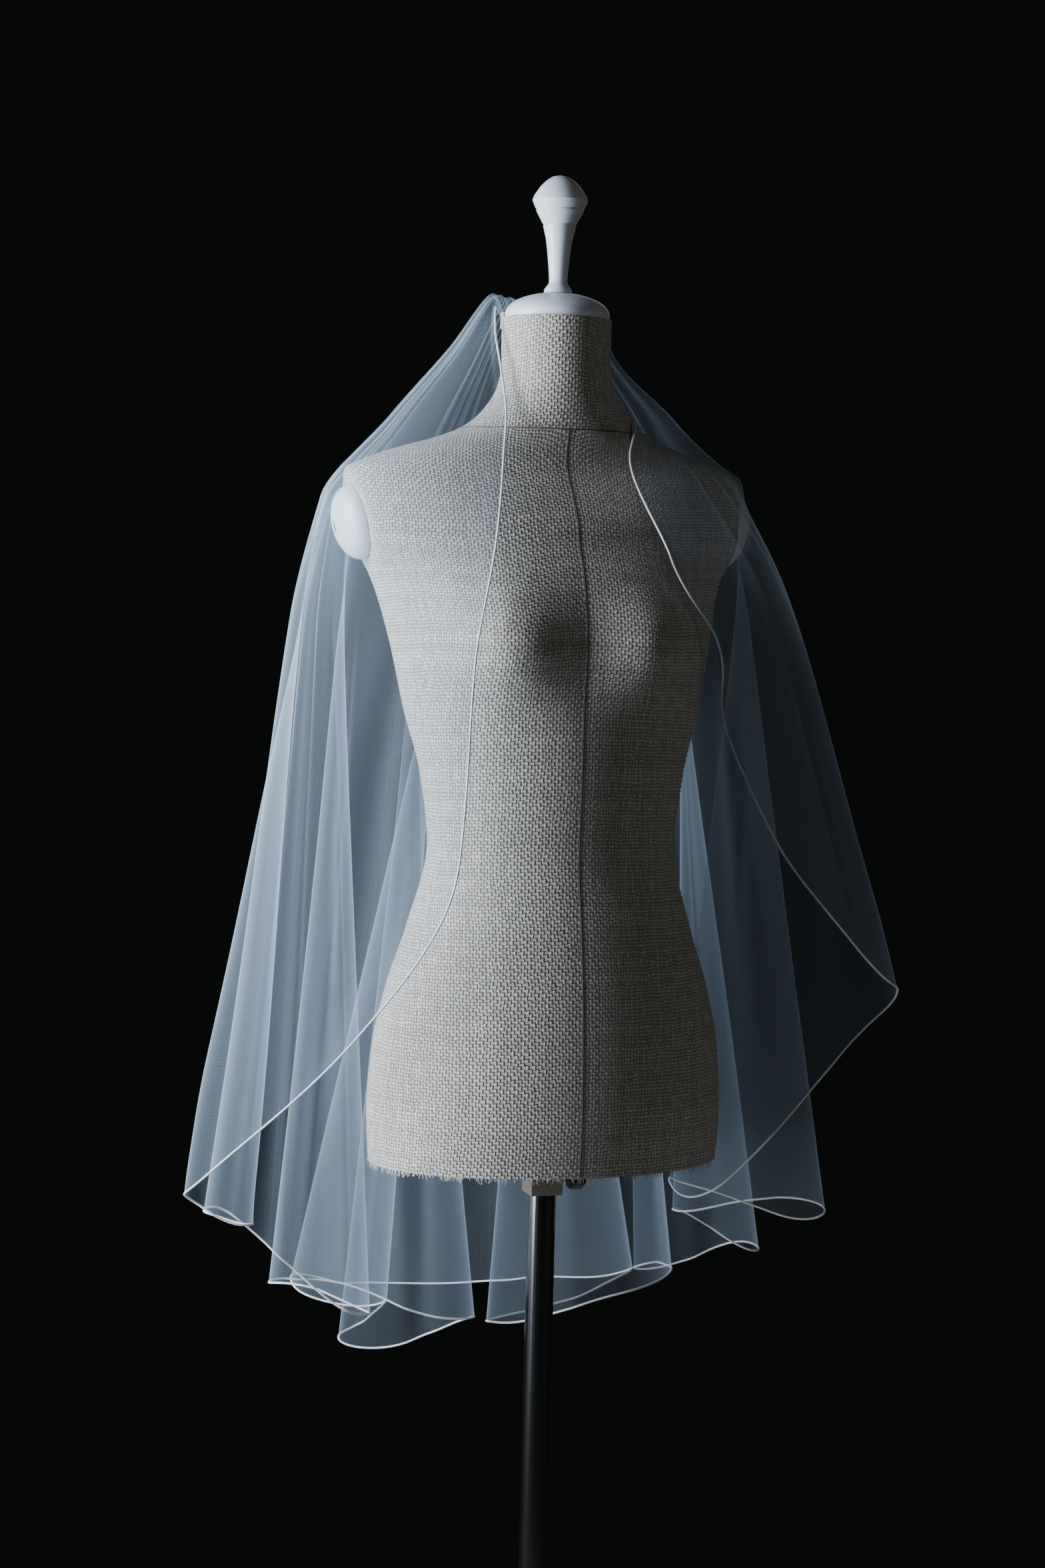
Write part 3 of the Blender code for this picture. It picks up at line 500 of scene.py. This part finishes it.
chance = np.random.default_rng(7)
thread_turns = np.sort(chance.uniform(0, 2 * np.pi, RAW_THREADS))
thread_lengths = chance.uniform(*RAW_THREAD_LENGTHS, RAW_THREADS)
thread_leans = chance.normal(0, RAW_THREAD_LEAN, RAW_THREADS)
line, along, outward, _ = skin_frame(thread_turns, np.full(RAW_THREADS, FORM_LOW + 0.001))
fall = np.stack([along[:, 0] * thread_leans, along[:, 1] * thread_leans, -np.ones(RAW_THREADS)], axis=1)
down = np.array([0.0, 0.5, 1.0])[:, None]
middle = line[:, None] + down * thread_lengths[:, None, None] * fall[:, None]
middle = middle + (RAW_THREAD_LIFT + RAW_THREAD_CURL * down**2) * outward[:, None]
sides = np.array([-0.5, 0.5])[:, None] * RAW_THREAD_WIDTH * along[:, None, None]
raw_points = middle[:, :, None] + sides
raw_faces = grid_faces(3, 2)[None] + 6 * np.arange(RAW_THREADS)[:, None, None]
raw_linen, _, _ = new_finish("raw_linen_threads", "C9C4B8", 0.9)
raw_edge = new_piece("raw_edge_threads", raw_points, raw_faces.reshape(-1, 4), raw_linen)
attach(raw_edge, "form")

# Neck cap and finial
# A domed disc covers the cut neck, and a turned finial stands on it as a handle. Both are moulded in satin
# white plastic.
CAP_GAP = 0.0003
NECK_CAP_RADIUS, NECK_CAP_SKIRT, NECK_CAP_HEIGHT = 0.0513, 0.0045, 0.025
NECK_CAP_BEVEL = 0.0006
AXIS_RADIUS = 0.001
DOME_TURN, DOME_ROWS = np.radians(76.0), 20
LATHE_SIDES = 96

# height above the neck cap's top, radius
FINIAL_PROFILE = (
    (0.0000, 0.0138),
    (0.0034, 0.0134),
    (0.0066, 0.0112),
    (0.0090, 0.0092),
    (0.0126, 0.0088),
    (0.0241, 0.0096),
    (0.0413, 0.0114),
    (0.0539, 0.0132),
    (0.0650, 0.0160),
    (0.0657, 0.0158),
    (0.0664, 0.0156),
    (0.0680, 0.0168),
    (0.0797, 0.0231),
    (0.0804, 0.0229),
    (0.0811, 0.0227),
    (0.0826, 0.0240),
    (0.0900, 0.0271),
    (0.0946, 0.0254),
    (0.1032, 0.0197),
    (0.1089, 0.0140),
    (0.1127, 0.0084),
    (0.1144, 0.0010),
)


def turned(name, profile, centre, material):
    """A body turned about an upright axis: a profile of heights and radii carried round a circle."""
    heights, radii = np.asarray(profile, float).T
    turns = np.linspace(0, 2 * np.pi, LATHE_SIDES, endpoint=False)
    x = centre[0] + radii[:, None] * np.cos(turns)
    y = centre[1] + radii[:, None] * np.sin(turns)
    z = np.repeat(heights[:, None], LATHE_SIDES, axis=1)
    faces = grid_faces(len(heights), LATHE_SIDES, closed=True)
    piece = new_piece(name, np.stack([x, y, z], axis=2), faces, material)
    piece.data.set_sharp_from_angle(angle=np.radians(40))
    return piece


white_plastic, _, _ = new_finish("satin_white_plastic", "E4ECF6", 0.38, Coat_Weight=0.15, Coat_Roughness=0.3)
dome_turns = np.linspace(0, DOME_TURN, DOME_ROWS)
cap_low = NECK_TOP + CAP_GAP
dome_rise = (NECK_CAP_HEIGHT - NECK_CAP_SKIRT) * np.sin(dome_turns) / np.sin(DOME_TURN)
dome_rows = np.stack([cap_low + NECK_CAP_SKIRT + dome_rise, NECK_CAP_RADIUS * np.cos(dome_turns)], axis=1)
cap_top = dome_rows[-1, 0]
skirt_rows = [
    (cap_low, AXIS_RADIUS),
    (cap_low, NECK_CAP_RADIUS - NECK_CAP_BEVEL),
    (cap_low + NECK_CAP_BEVEL, NECK_CAP_RADIUS),
]
neck_axis = (0.0, NECK_BACK)
cap_profile = np.concatenate([skirt_rows, dome_rows, [(cap_top, AXIS_RADIUS)]])
neck_cap = turned("domed_neck_cap", cap_profile, neck_axis, white_plastic)
finial_low = cap_top + CAP_GAP
finial_profile = np.concatenate([[(finial_low, AXIS_RADIUS)], np.array(FINIAL_PROFILE) + (finial_low, 0.0)])
finial = turned("turned_finial", finial_profile, neck_axis, white_plastic)
for piece, node_name in ((neck_cap, "neck_cap"), (finial, "finial")):
    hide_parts(node_name)
    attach(piece, "form")

# Arm caps
# A domed oval cap of the same white plastic is pressed on each flat arm plate. A short upright slot in its
# crown takes a tool.
CAP_HALF_HEIGHT, CAP_HALF_DEPTH, CAP_DOME = 0.037, 0.041, 0.023
CAP_ROWS, CAP_COLUMNS = 60, 128
CAP_RIM, CAP_INNER_POWER, CAP_OUTER_POWER = 0.10, 2.3, 0.55
SLOT_HALF_LENGTH, SLOT_HALF_WIDTH, SLOT_DEPTH = 0.0055, 0.0016, 0.0022
ARM_CAPS = ((-1, "oval_arm_cap_right", "arm_cap_right"), (1, "oval_arm_cap_left", "arm_cap_left"))


def cap_skin(side):
    """Rings of an oval dome on an arm plate, from its rim to its crown, and which points lie in its slot. The
    rise is a superellipse of the distance from the middle, less the slot's depth in a small upright oval."""
    centre, outward, up, along = plate_axis(side)
    turn = np.linspace(0, 2 * np.pi, CAP_COLUMNS, endpoint=False)
    share = np.linspace(1.0, 0.004, CAP_ROWS)
    rise = CAP_RIM + (1 - CAP_RIM) * (1 - share**CAP_INNER_POWER) ** CAP_OUTER_POWER
    share = np.concatenate([[0.02, 0.99, 1.0], share])
    rise = np.concatenate([[0.0, 0.0, 0.03], rise])
    across = CAP_HALF_DEPTH * share[:, None] * np.cos(turn)
    upright = CAP_HALF_HEIGHT * share[:, None] * np.sin(turn)
    slot = (np.abs(upright) / SLOT_HALF_LENGTH) ** 4 + (np.abs(across) / SLOT_HALF_WIDTH) ** 4 < 1
    slot[0] = False
    out = (CAP_GAP + CAP_DOME * rise)[:, None] - SLOT_DEPTH * slot
    skin = centre + across[..., None] * along + upright[..., None] * up + out[..., None] * outward
    return skin, slot


# The slot's faces get a dark finish: painted shade in the recess, not the plastic's own colour.
slot_shadow, _, _ = new_finish("cap_slot_painted_shade", "2A2B2E", 0.7)
for side, cap_name, node_name in ARM_CAPS:
    skin, slot = cap_skin(side)
    faces = grid_faces(*skin.shape[:2], closed=True)
    arm_cap = new_piece(cap_name, skin, faces, white_plastic)
    arm_cap.data.materials.append(slot_shadow)
    arm_cap.data.polygons.foreach_set("material_index", slot.ravel()[faces].any(axis=1).astype(np.int32))
    arm_cap.data.set_sharp_from_angle(angle=np.radians(40))
    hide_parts(node_name)
    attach(arm_cap, "form")

# Comb
# A small curved comb whose bar is bound in ivory tape. Its teeth point down behind the neck, and the veil's
# gathered edge is sewn along the bar.
TAPE_BEVEL = 0.0003

ivory_tape, _, _ = new_finish("ivory_comb_tape", "DDD5BE", 0.6, Sheen_Weight=0.3)
dress_node("comb", ivory_tape, TAPE_BEVEL)

# Veil
# One oval of soft white nylon tulle, gathered on the comb and falling free to fingertip length. It is sheer,
# and each layer that lies behind another makes it whiter.
VEIL_FLAT = (2.40, 1.11)
VEIL_ROWS = 160
CLOTH_CLEARANCE = 0.0035
CLEARING_SPREAD = 6
TULLE_WHITE = "C6DCF2"
THREAD_SHARE = 0.13
LIGHT_THROUGH = 0.45
EDGE_ON_COSINE = 0.04
# The real net's holes are about 1 mm across, and are drawn coarser so that they don't blur away.
NET_PITCH = 0.0030
NET_COVER = (1.10, 0.80)

# Gathers and finer pleats by the comb: how many, how unevenly spaced, and how high at shares of the length.
GATHERS, GATHER_UNEVEN, GATHER_UNEVEN_WAVES = 13, 0.35, 2.3
GATHER_HEIGHTS = ((0.0, 0.05, 0.12, 0.20, 0.28, 0.36), (0.0006, 0.0018, 0.0032, 0.0042, 0.0028, 0.0))
GATHER_FADES = (0.05, 0.25)
FINE_PLEATS, FINE_UNEVEN, FINE_UNEVEN_WAVES = 27, 0.8, 5.3
FINE_HEIGHTS = ((0.0, 0.03, 0.10, 0.20, 0.32, 0.48), (0.0012, 0.0028, 0.0042, 0.0040, 0.0022, 0.0))
FINE_FADE, FINE_SHARPNESS = 0.02, 1.5
FINE_SIZE_CHANGE, FINE_SIZE_WAVES = 0.35, 9.7

# Folds grow from a share of the length down to the hem, which is cut into columns, rounded where near folds
# double back, given small waves and evened out. The front corners are evened out by many passes.
FOLD_TURN = np.radians(18.0)
FOLDS_FROM = 0.20
COLUMN_CUTS = 4
HEM_ROUNDING, HEM_ROUNDED_DEPTH = 0.8, 0.15
HEM_SOFTENING = 7
CORNER_REACH, CORNER_PASSES, CORNER_INWARD = 64, 260, 16.0

# waves along the hem, height, start as an angle
HEM_WAVES = ((23, 0.00220, 0.7), (41, 0.00132, 2.0))

# Drape rings from the comb down. Five stations run round the form from the front edge on its right, by its
# back, to the other front edge. First comes each ring's share of the length and its stations' heights.
STATION_SHARES = (0.0, 0.10, 0.50, 0.84, 1.0)
DRAPE_HEIGHTS = (
    ("comb", 0.000, 1.579, 1.579, 1.579, 1.579, 1.579),
    ("crown", 0.035, 1.588, 1.602, 1.600, 1.600, 1.584),
    ("nape", 0.090, 1.550, 1.546, 1.522, 1.544, 1.542),
    ("neck", 0.160, 1.494, 1.480, 1.448, 1.482, 1.490),
    ("shoulder", 0.240, 1.437, 1.397, 1.365, 1.405, 1.432),
    ("chest", 0.380, 1.345, 1.270, 1.215, 1.290, 1.342),
    ("bust", 0.550, 1.235, 1.094, 1.027, 1.133, 1.264),
    ("waist", 0.780, 1.100, 0.868, 0.775, 0.915, 1.216),
    ("hem", 1.000, 0.992, 0.660, 0.540, 0.715, 1.183),
)

# Then each station's angle from the back in degrees and its reach from the neck's axis.
DRAPE_REACHES = (
    ("comb", (-58, 0.0585), (-48, 0.0585), (0, 0.0585), (44, 0.0585), (57, 0.0585)),
    ("crown", (-64, 0.0620), (-54, 0.0680), (0, 0.0680), (48, 0.0670), (59, 0.0612)),
    ("nape", (-95, 0.0650), (-75, 0.1060), (0, 0.1000), (60, 0.0900), (65, 0.0640)),
    ("neck", (-120, 0.0740), (-84, 0.1620), (0, 0.1220), (69, 0.1600), (79, 0.0655)),
    ("shoulder", (-132, 0.0980), (-83, 0.2270), (0, 0.1420), (81, 0.2110), (127, 0.0810)),
    ("chest", (-140, 0.1450), (-83, 0.2440), (0, 0.1620), (81, 0.2260), (141, 0.1400)),
    ("bust", (-139, 0.1790), (-80, 0.2520), (0, 0.1870), (80, 0.2280), (124, 0.1715)),
    ("waist", (-138, 0.1870), (-78, 0.2600), (0, 0.2220), (78, 0.2340), (110, 0.1735)),
    ("hem", (-136, 0.1920), (-76, 0.2700), (0, 0.2500), (76, 0.2400), (106, 0.1730)),
)

# Long soft creases rise over a share of the length, and lose part of their height close to the hem.
CREASE_RISE = 0.30
CREASE_HEM_FROM, CREASE_HEM_LOSS = 0.9, 0.5

# place along the cloth from the form's right front edge, half width as a share of it, the share of the length
# where the crease begins, and how far it stands out
CREASES = (
    (0.030, 0.0037, 0.30, 0.0064),
    (0.082, 0.0025, 0.45, 0.0048),
    (0.150, 0.0022, 0.22, 0.0112),
    (0.162, 0.0022, 0.18, 0.0130),
    (0.181, 0.0022, 0.30, 0.0080),
    (0.218, 0.0025, 0.40, 0.0064),
    (0.252, 0.0031, 0.28, 0.0112),
    (0.276, 0.0025, 0.45, 0.0080),
    (0.325, 0.0031, 0.30, 0.0096),
    (0.372, 0.0025, 0.50, 0.0064),
    (0.450, 0.0037, 0.35, 0.0112),
    (0.482, 0.0031, 0.45, 0.0080),
    (0.550, 0.0037, 0.35, 0.0096),
    (0.607, 0.0031, 0.30, 0.0096),
    (0.652, 0.0031, 0.50, 0.0064),
    (0.694, 0.0025, 0.35, 0.0080),
    (0.738, 0.0025, 0.40, 0.0080),
    (0.782, 0.0031, 0.30, 0.0096),
    (0.823, 0.0025, 0.45, 0.0064),
    (0.872, 0.0031, 0.30, 0.0096),
    (0.895, 0.0025, 0.45, 0.0064),
    (0.944, 0.0037, 0.35, 0.0064),
)

# Hem folds from the form's right front edge, round the back, to its left one: name, whether the hem doubles
# back there, how far across and back on lines turned by FOLD_TURN, height, bow and drop of the stretch that
# leads on, and how finely that stretch is cut.
HEM_FOLDS = (
    ("right front corner", 0, -0.090, -0.150, 0.992, 0.000, 0.004, 4),
    ("right edge bend", 0, -0.164, -0.130, 0.882, 0.000, -0.006, 6),
    ("right tip", 1, -0.358, -0.080, 0.720, 0.000, -0.004, 5),
    ("right pleat out", 1, -0.280, -0.050, 0.685, 0.000, 0.000, 5),
    ("right pleat in", 1, -0.334, -0.020, 0.692, 0.000, 0.000, 10),
    ("right side inner", 1, -0.170, 0.050, 0.578, 0.000, 0.005, 6),
    ("right side outer", 1, -0.279, 0.090, 0.597, 0.000, 0.003, 10),
    ("centre back right", 1, -0.067, 0.180, 0.547, 0.010, -0.018, 8),
    ("low fold outer", 1, -0.214, 0.205, 0.513, 0.000, 0.000, 5),
    ("low fold inner", 1, -0.163, 0.245, 0.545, 0.000, -0.020, 6),
    ("back fold outer", 1, -0.275, 0.310, 0.556, 0.050, -0.025, 14),
    ("back fold left", 1, 0.103, 0.340, 0.568, 0.000, -0.008, 9),
    ("pole fold", 1, -0.056, 0.145, 0.548, -0.060, 0.000, 9),
    ("narrow pleat out", 1, 0.143, 0.270, 0.586, 0.000, 0.000, 5),
    ("narrow pleat in", 1, 0.101, 0.295, 0.579, 0.036, -0.008, 7),
    ("left back outer", 1, 0.235, 0.235, 0.617, 0.000, -0.004, 6),
    ("left back inner", 1, 0.137, 0.200, 0.661, 0.018, 0.006, 7),
    ("left side outer", 1, 0.295, 0.130, 0.679, 0.000, -0.014, 7),
    ("left side inner", 1, 0.130, 0.130, 0.713, 0.010, -0.045, 11),
    ("left tip", 1, 0.358, 0.068, 0.920, 0.000, -0.004, 7),
    ("left edge bend", 0, 0.218, 0.035, 1.057, 0.000, -0.006, 5),
    ("left front corner", 0, 0.165, 0.028, 1.183, 0.000, 0.000, 0),
)


def fold_ease(t, turns, next_turns):
    """How far across a stretch of hem is after the share t of it: slow near a fold that doubles back."""
    if turns and next_turns:
        return (1 - np.cos(t * np.pi)) / 2
    if turns:
        return 1 - np.cos(t * np.pi / 2)
    if next_turns:
        return np.sin(t * np.pi / 2)
    return t


def hem_line():
    """Points of the hem: each stretch eases across from fold to fold and runs back, bowed and dropped by half
    a sine. It levels off where it doubles back, has small waves, and is evened out."""
    across_line = np.array([np.cos(FOLD_TURN), -np.sin(FOLD_TURN)])
    back_line = np.array([np.sin(FOLD_TURN), np.cos(FOLD_TURN)])
    found = []
    for here, following in zip(HEM_FOLDS[:-1], HEM_FOLDS[1:]):
        _, turns, across, back, height, bow, drop, columns = here
        _, next_turns, next_across, next_back, next_height = following[:5]
        t = np.arange(columns * COLUMN_CUTS) / (columns * COLUMN_CUTS)
        ease = fold_ease(t, turns, next_turns)
        swell = np.sin(t * np.pi)
        rounded = turns and next_turns and abs(next_back - back) < HEM_ROUNDED_DEPTH
        depth = t + (HEM_ROUNDING if rounded else 0.0) * np.sin(2 * np.pi * t) / (2 * np.pi)
        plan = np.outer(across + (next_across - across) * ease, across_line)
        plan += np.outer(back + (next_back - back) * depth + bow * swell, back_line)
        level = ease * ease * (3 - 2 * ease) if turns and next_turns else ease
        found.append(np.column_stack([plan, height + (next_height - height) * level + drop * swell]))
    _, _, across, back, height = HEM_FOLDS[-1][:5]
    found.append(np.array([[*(across * across_line + back * back_line), height]]))
    hem = np.concatenate(found)
    along = np.linspace(0.0, 1.0, len(hem))
    for waves, height, start in HEM_WAVES:
        hem[:, 2] += height * np.sin(2 * np.pi * waves * along + start)
    for _ in range(HEM_SOFTENING):
        hem[1:-1] = (hem[:-2] + 2 * hem[1:-1] + hem[2:]) / 4
    return hem


def cloth_normals(surface):
    """Unit directions square to a grid of cloth, away from the form."""
    normal = np.cross(np.gradient(surface, axis=0), np.gradient(surface, axis=1))
    return normal / np.maximum(np.linalg.norm(normal, axis=2, keepdims=True), 1e-9)


def form_distance(points):
    """How far points stand outside the linen: the level distance from its ellipse at their height, or from an
    arm plate where that is further out."""
    half, front, back, shift = section_sizes(np.clip(points[..., 2], FORM_LOW, NECK_TOP - 1e-6))
    x = points[..., 0]
    y = points[..., 1] + bust_lift(points) - shift
    reach = np.hypot(x, y)
    stretch = np.hypot(x / half, y / np.where(y < 0, front, back))
    distance = reach * (1 - 1 / np.maximum(stretch, 1e-6))
    for side in (-1, 1):
        centre, outward, _, _ = plate_axis(side)
        from_plate = (points - centre) @ outward
        near = centre[2] - points[..., 2] < ARM_PLATE_REACH
        distance = np.where(near, np.maximum(distance, from_plate), distance)
    return distance


def clear_of_form(points, clearance, passes=6):
    """Moves points out along the steepest way from the linen until they stand clear of it, and straight out
    from each arm plate until they are clear of its domed cap."""
    points = points.copy()
    nudge = 1e-4
    least_steepness = 0.2
    for _ in range(passes):
        steps = [
            (form_distance(points + nudge * axis) - form_distance(points - nudge * axis)) / (2 * nudge)
            for axis in np.eye(3)
        ]
        slope = np.stack(steps, axis=-1)
        steepness = np.maximum(np.linalg.norm(slope, axis=-1), least_steepness)
        short = np.maximum(clearance - form_distance(points) / steepness, 0.0)
        below = points[..., 2] < FORM_LOW - 0.01
        points += np.where(below, 0.0, short)[..., None] * slope / steepness[..., None]
    for side in (-1, 1):
        centre, outward, up, along = plate_axis(side)
        upright = (points - centre) @ up / (CAP_HALF_HEIGHT + clearance)
        across = (points - centre) @ along / (CAP_HALF_DEPTH + clearance)
        out = (points - centre) @ outward
        dome = np.sqrt(np.clip(1 - upright**2 - across**2, 0.0, None))
        wanted = np.where(dome > 0, (CAP_DOME + clearance) * dome, -1.0)
        short = np.where(out > -CAP_DOME, np.maximum(wanted - out, 0.0), 0.0)
        points += short[..., None] * outward
    return points


def draped_on_form(surface):
    """The cloth kept clear of the form: what is pushed out takes its surroundings along, as the moves are
    evened out over neighbours before the cloth is cleared once more."""
    move = clear_of_form(surface, CLOTH_CLEARANCE) - surface
    for _ in range(CLEARING_SPREAD):
        move[1:-1] = (move[:-2] + 2 * move[1:-1] + move[2:]) / 4
        move[:, 1:-1] = (move[:, :-2] + 2 * move[:, 1:-1] + move[:, 2:]) / 4
    return clear_of_form(surface + move, CLOTH_CLEARANCE)


def rounded_corners(surface):
    """The cloth with its two front corners rounded: the edge line is evened out by weighted means of
    neighbours near each corner, and the cloth beside it follows, by less the further in it lies."""
    surface = surface.copy()
    inward = np.arange(CORNER_REACH + 1)
    upward, sideways = np.meshgrid(inward, inward, indexing="ij")
    edge_share = np.where(upward + sideways > 0, upward / np.maximum(upward + sideways, 1), 0.5)
    fade = np.exp(-((np.minimum(upward, sideways) / CORNER_INWARD) ** 2))
    for grid in (surface[::-1], surface[::-1, ::-1]):
        line = np.concatenate([grid[CORNER_REACH:0:-1, 0], grid[0, : CORNER_REACH + 1]])
        even = line.copy()
        for _ in range(CORNER_PASSES):
            even[1:-1] = (even[:-2] + 2 * even[1:-1] + even[2:]) / 4
        window = np.cos(np.linspace(-np.pi / 2, np.pi / 2, len(line))) ** 2
        move = (even - line) * window[:, None]
        up_move = move[CORNER_REACH - upward]
        side_move = move[CORNER_REACH + sideways]
        moved = edge_share[..., None] * up_move + (1 - edge_share[..., None]) * side_move
        grid[: CORNER_REACH + 1, : CORNER_REACH + 1] += fade[..., None] * moved
    return surface


def drape_rings(along):
    """Points of the drape rings at shares along the cloth, eased between their stations' places."""
    rings = []
    for (_, _, *heights), (_, *reaches) in zip(DRAPE_HEIGHTS, DRAPE_REACHES):
        angle, reach, height = smooth_rows(STATION_SHARES, np.column_stack([reaches, heights]), along).T
        angle = np.radians(angle)
        rings.append(np.stack([reach * np.sin(angle), NECK_BACK + reach * np.cos(angle), height], axis=1))
    return np.array(rings)


def gathers(shares, along):
    """How far gathers and fine pleats by the comb stand out. Gathers are raised sines. Fine pleats are narrow
    peaks, one less the size of a sine raised to a power. Slow sines space and size them unevenly."""
    fade = np.clip(np.minimum(along / GATHER_FADES[0], (1 - along) / GATHER_FADES[1]), 0.0, 1.0)
    uneven = GATHER_UNEVEN * np.sin(2 * np.pi * GATHER_UNEVEN_WAVES * along)
    phase = 2 * np.pi * (GATHERS * along + uneven)
    gather = (1 + np.sin(phase)) * fade / 2
    fine_fade = np.clip(np.minimum(along, 1 - along) / FINE_FADE, 0.0, 1.0)
    fine_uneven = FINE_UNEVEN * np.sin(2 * np.pi * FINE_UNEVEN_WAVES * along + 1.0)
    fine = (1 - np.abs(np.sin(np.pi * (FINE_PLEATS * along + fine_uneven)))) ** FINE_SHARPNESS * fine_fade
    fine = fine * (1 + FINE_SIZE_CHANGE * (np.sin(2 * np.pi * FINE_SIZE_WAVES * along + 0.6) - 1))
    gather_height = np.interp(shares, *GATHER_HEIGHTS)[:, None]
    fine_height = np.interp(shares, *FINE_HEIGHTS)[:, None]
    return gather_height * gather + fine_height * fine


def long_creases(shares, along):
    """How far the long creases stand out: bell curves across the cloth that ease in down its length."""
    hem_loss = CREASE_HEM_LOSS * np.clip((shares - CREASE_HEM_FROM) / (1 - CREASE_HEM_FROM), 0.0, 1.0)
    lift = np.zeros((len(shares), len(along)))
    for place, half_width, begins, height in CREASES:
        down = np.clip((shares - begins) / CREASE_RISE, 0.0, 1.0)
        down = down * down * (3 - 2 * down) * (1 - hem_loss)
        lift += height * down[:, None] * np.exp(-(((along - place) / half_width) ** 2))
    return lift


def veil_skin(shares):
    """The cloth, shares of its length by places round it: smooth rings between the drape stations, moved step
    by step towards the folded hem, with gathers, pleats and creases square to it."""
    hem = hem_line()
    along = np.linspace(0.0, 1.0, len(hem))
    rings = drape_rings(along)
    surface = smooth_rows([ring[1] for ring in DRAPE_HEIGHTS], rings, shares)
    growth = np.clip((shares - FOLDS_FROM) / (1 - FOLDS_FROM), 0.0, 1.0)
    surface += growth[:, None, None] * (hem - rings[-1])
    lift = gathers(shares, along) + long_creases(shares, along)
    return rounded_corners(surface + cloth_normals(surface) * lift[..., None])


def add_sheerness(tree, shader):
    """Tulle is mostly holes, and its threads send light on as well as back. The share left open is the open
    share face on, raised to one over the cosine of the angle of view, so folds seen edge on are whiter. The
    six-sided net is the sum of three rows of waves at 60 degrees."""
    facing = add_node(tree, "ShaderNodeLayerWeight", {"Blend": 0.5}).outputs["Facing"]
    cosine = reckon(tree, "SUBTRACT", 1 + EDGE_ON_COSINE, facing)
    open_share = reckon(tree, "POWER", 1 - THREAD_SHARE, reckon(tree, "DIVIDE", 1.0, cosine))
    threads = reckon(tree, "SUBTRACT", 1.0, open_share)
    place = add_node(tree, "ShaderNodeUVMap", uv_map="cloth_metres").outputs[0]
    waves = []
    for turn in np.radians((0.0, 60.0, 120.0)):
        across = (2 * np.pi / NET_PITCH * np.cos(turn), 2 * np.pi / NET_PITCH * np.sin(turn), 0.0)
        waves.append(reckon(tree, "COSINE", reckon_vectors(tree, "DOT_PRODUCT", place, across)))
    net = reckon(tree, "ADD", waves[2], reckon(tree, "ADD", waves[1], waves[0]))
    terms = {0: threads, 1: carried(tree, net, (-1.5, 3.0), NET_COVER)}
    cover = add_node(tree, "ShaderNodeMath", terms, operation="MULTIPLY", use_clamp=True)
    through = add_node(tree, "ShaderNodeBsdfTranslucent", {"Color": linear(TULLE_WHITE)})
    lit = {0: LIGHT_THROUGH, 1: shader.outputs[0], 2: through.outputs[0]}
    lit_threads = add_node(tree, "ShaderNodeMixShader", lit)
    holes = add_node(tree, "ShaderNodeBsdfTransparent")
    layers = {0: cover.outputs[0], 1: holes.outputs[0], 2: lit_threads.outputs[0]}
    cloth = add_node(tree, "ShaderNodeMixShader", layers)
    tree.links.new(cloth.outputs[0], tree.nodes["Material Output"].inputs["Surface"])


tulle, tulle_tree, tulle_shader = new_finish(
    "sheer_white_tulle", TULLE_WHITE, 0.75, Sheen_Weight=0.3, Sheen_Roughness=0.4
)
add_sheerness(tulle_tree, tulle_shader)

veil_shares = np.linspace(0.0, 1.0, VEIL_ROWS)
veil_points = draped_on_form(veil_skin(veil_shares))
veil_down = arc_metres(veil_points)
veil_along = np.linspace(-0.5, 0.5, veil_points.shape[1]) * VEIL_FLAT[0]
veil_uv = np.stack([np.repeat(veil_along[None], VEIL_ROWS, axis=0), veil_down], axis=2)
veil = new_piece("tulle_veil", veil_points, grid_faces(*veil_points.shape[:2]), tulle, uv=veil_uv)
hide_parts("veil_tulle")
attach(veil, "form")

# Edge cord
# A fine round cord of bright white satin, sewn along the two front edges and the hem. It gives the soft tulle
# its clear outline.
CORD_RADIUS = 0.0011
CORD_GAP = 0.0003
CORD_SIDES = 8
CORD_FIRST_ROW = 7
CORD_EVENING = 6


def edge_tube(surface):
    """Rings of a round cord carried along the cloth's free edge, just outside it."""
    start_out = surface[:, 0] - surface[:, 1]
    end_out = surface[:, -1] - surface[:, -2]
    hem_out = surface[-1] - surface[-2]
    line = np.concatenate([surface[CORD_FIRST_ROW:-1, 0], surface[-1], surface[CORD_FIRST_ROW:-1, -1][::-1]])
    out = np.concatenate([start_out[CORD_FIRST_ROW:-1], hem_out, end_out[CORD_FIRST_ROW:-1][::-1]])
    tangent = np.gradient(line, axis=0)
    tangent /= np.linalg.norm(tangent, axis=1, keepdims=True)
    out /= np.linalg.norm(out, axis=1, keepdims=True)
    for _ in range(CORD_EVENING):
        out[1:-1] = (out[:-2] + 2 * out[1:-1] + out[2:]) / 4
    out -= np.sum(out * tangent, axis=1, keepdims=True) * tangent
    out /= np.linalg.norm(out, axis=1, keepdims=True)
    aside = np.cross(tangent, out)
    centre = line + out * (CORD_RADIUS + CORD_GAP)
    turn = np.linspace(0, 2 * np.pi, CORD_SIDES, endpoint=False)
    ring = np.cos(turn)[None, :, None] * out[:, None] + np.sin(turn)[None, :, None] * aside[:, None]
    return centre[:, None] + CORD_RADIUS * ring


satin_cord, _, _ = new_finish("white_satin_cord", "F4F7FA", 0.42, Sheen_Weight=0.5)
cord_points = edge_tube(veil_points)
cord_faces = grid_faces(*cord_points.shape[:2], closed=True)
cord = new_piece("satin_edge_cord", cord_points, cord_faces, satin_cord)
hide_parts("veil_edge_cord")
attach(cord, "form")
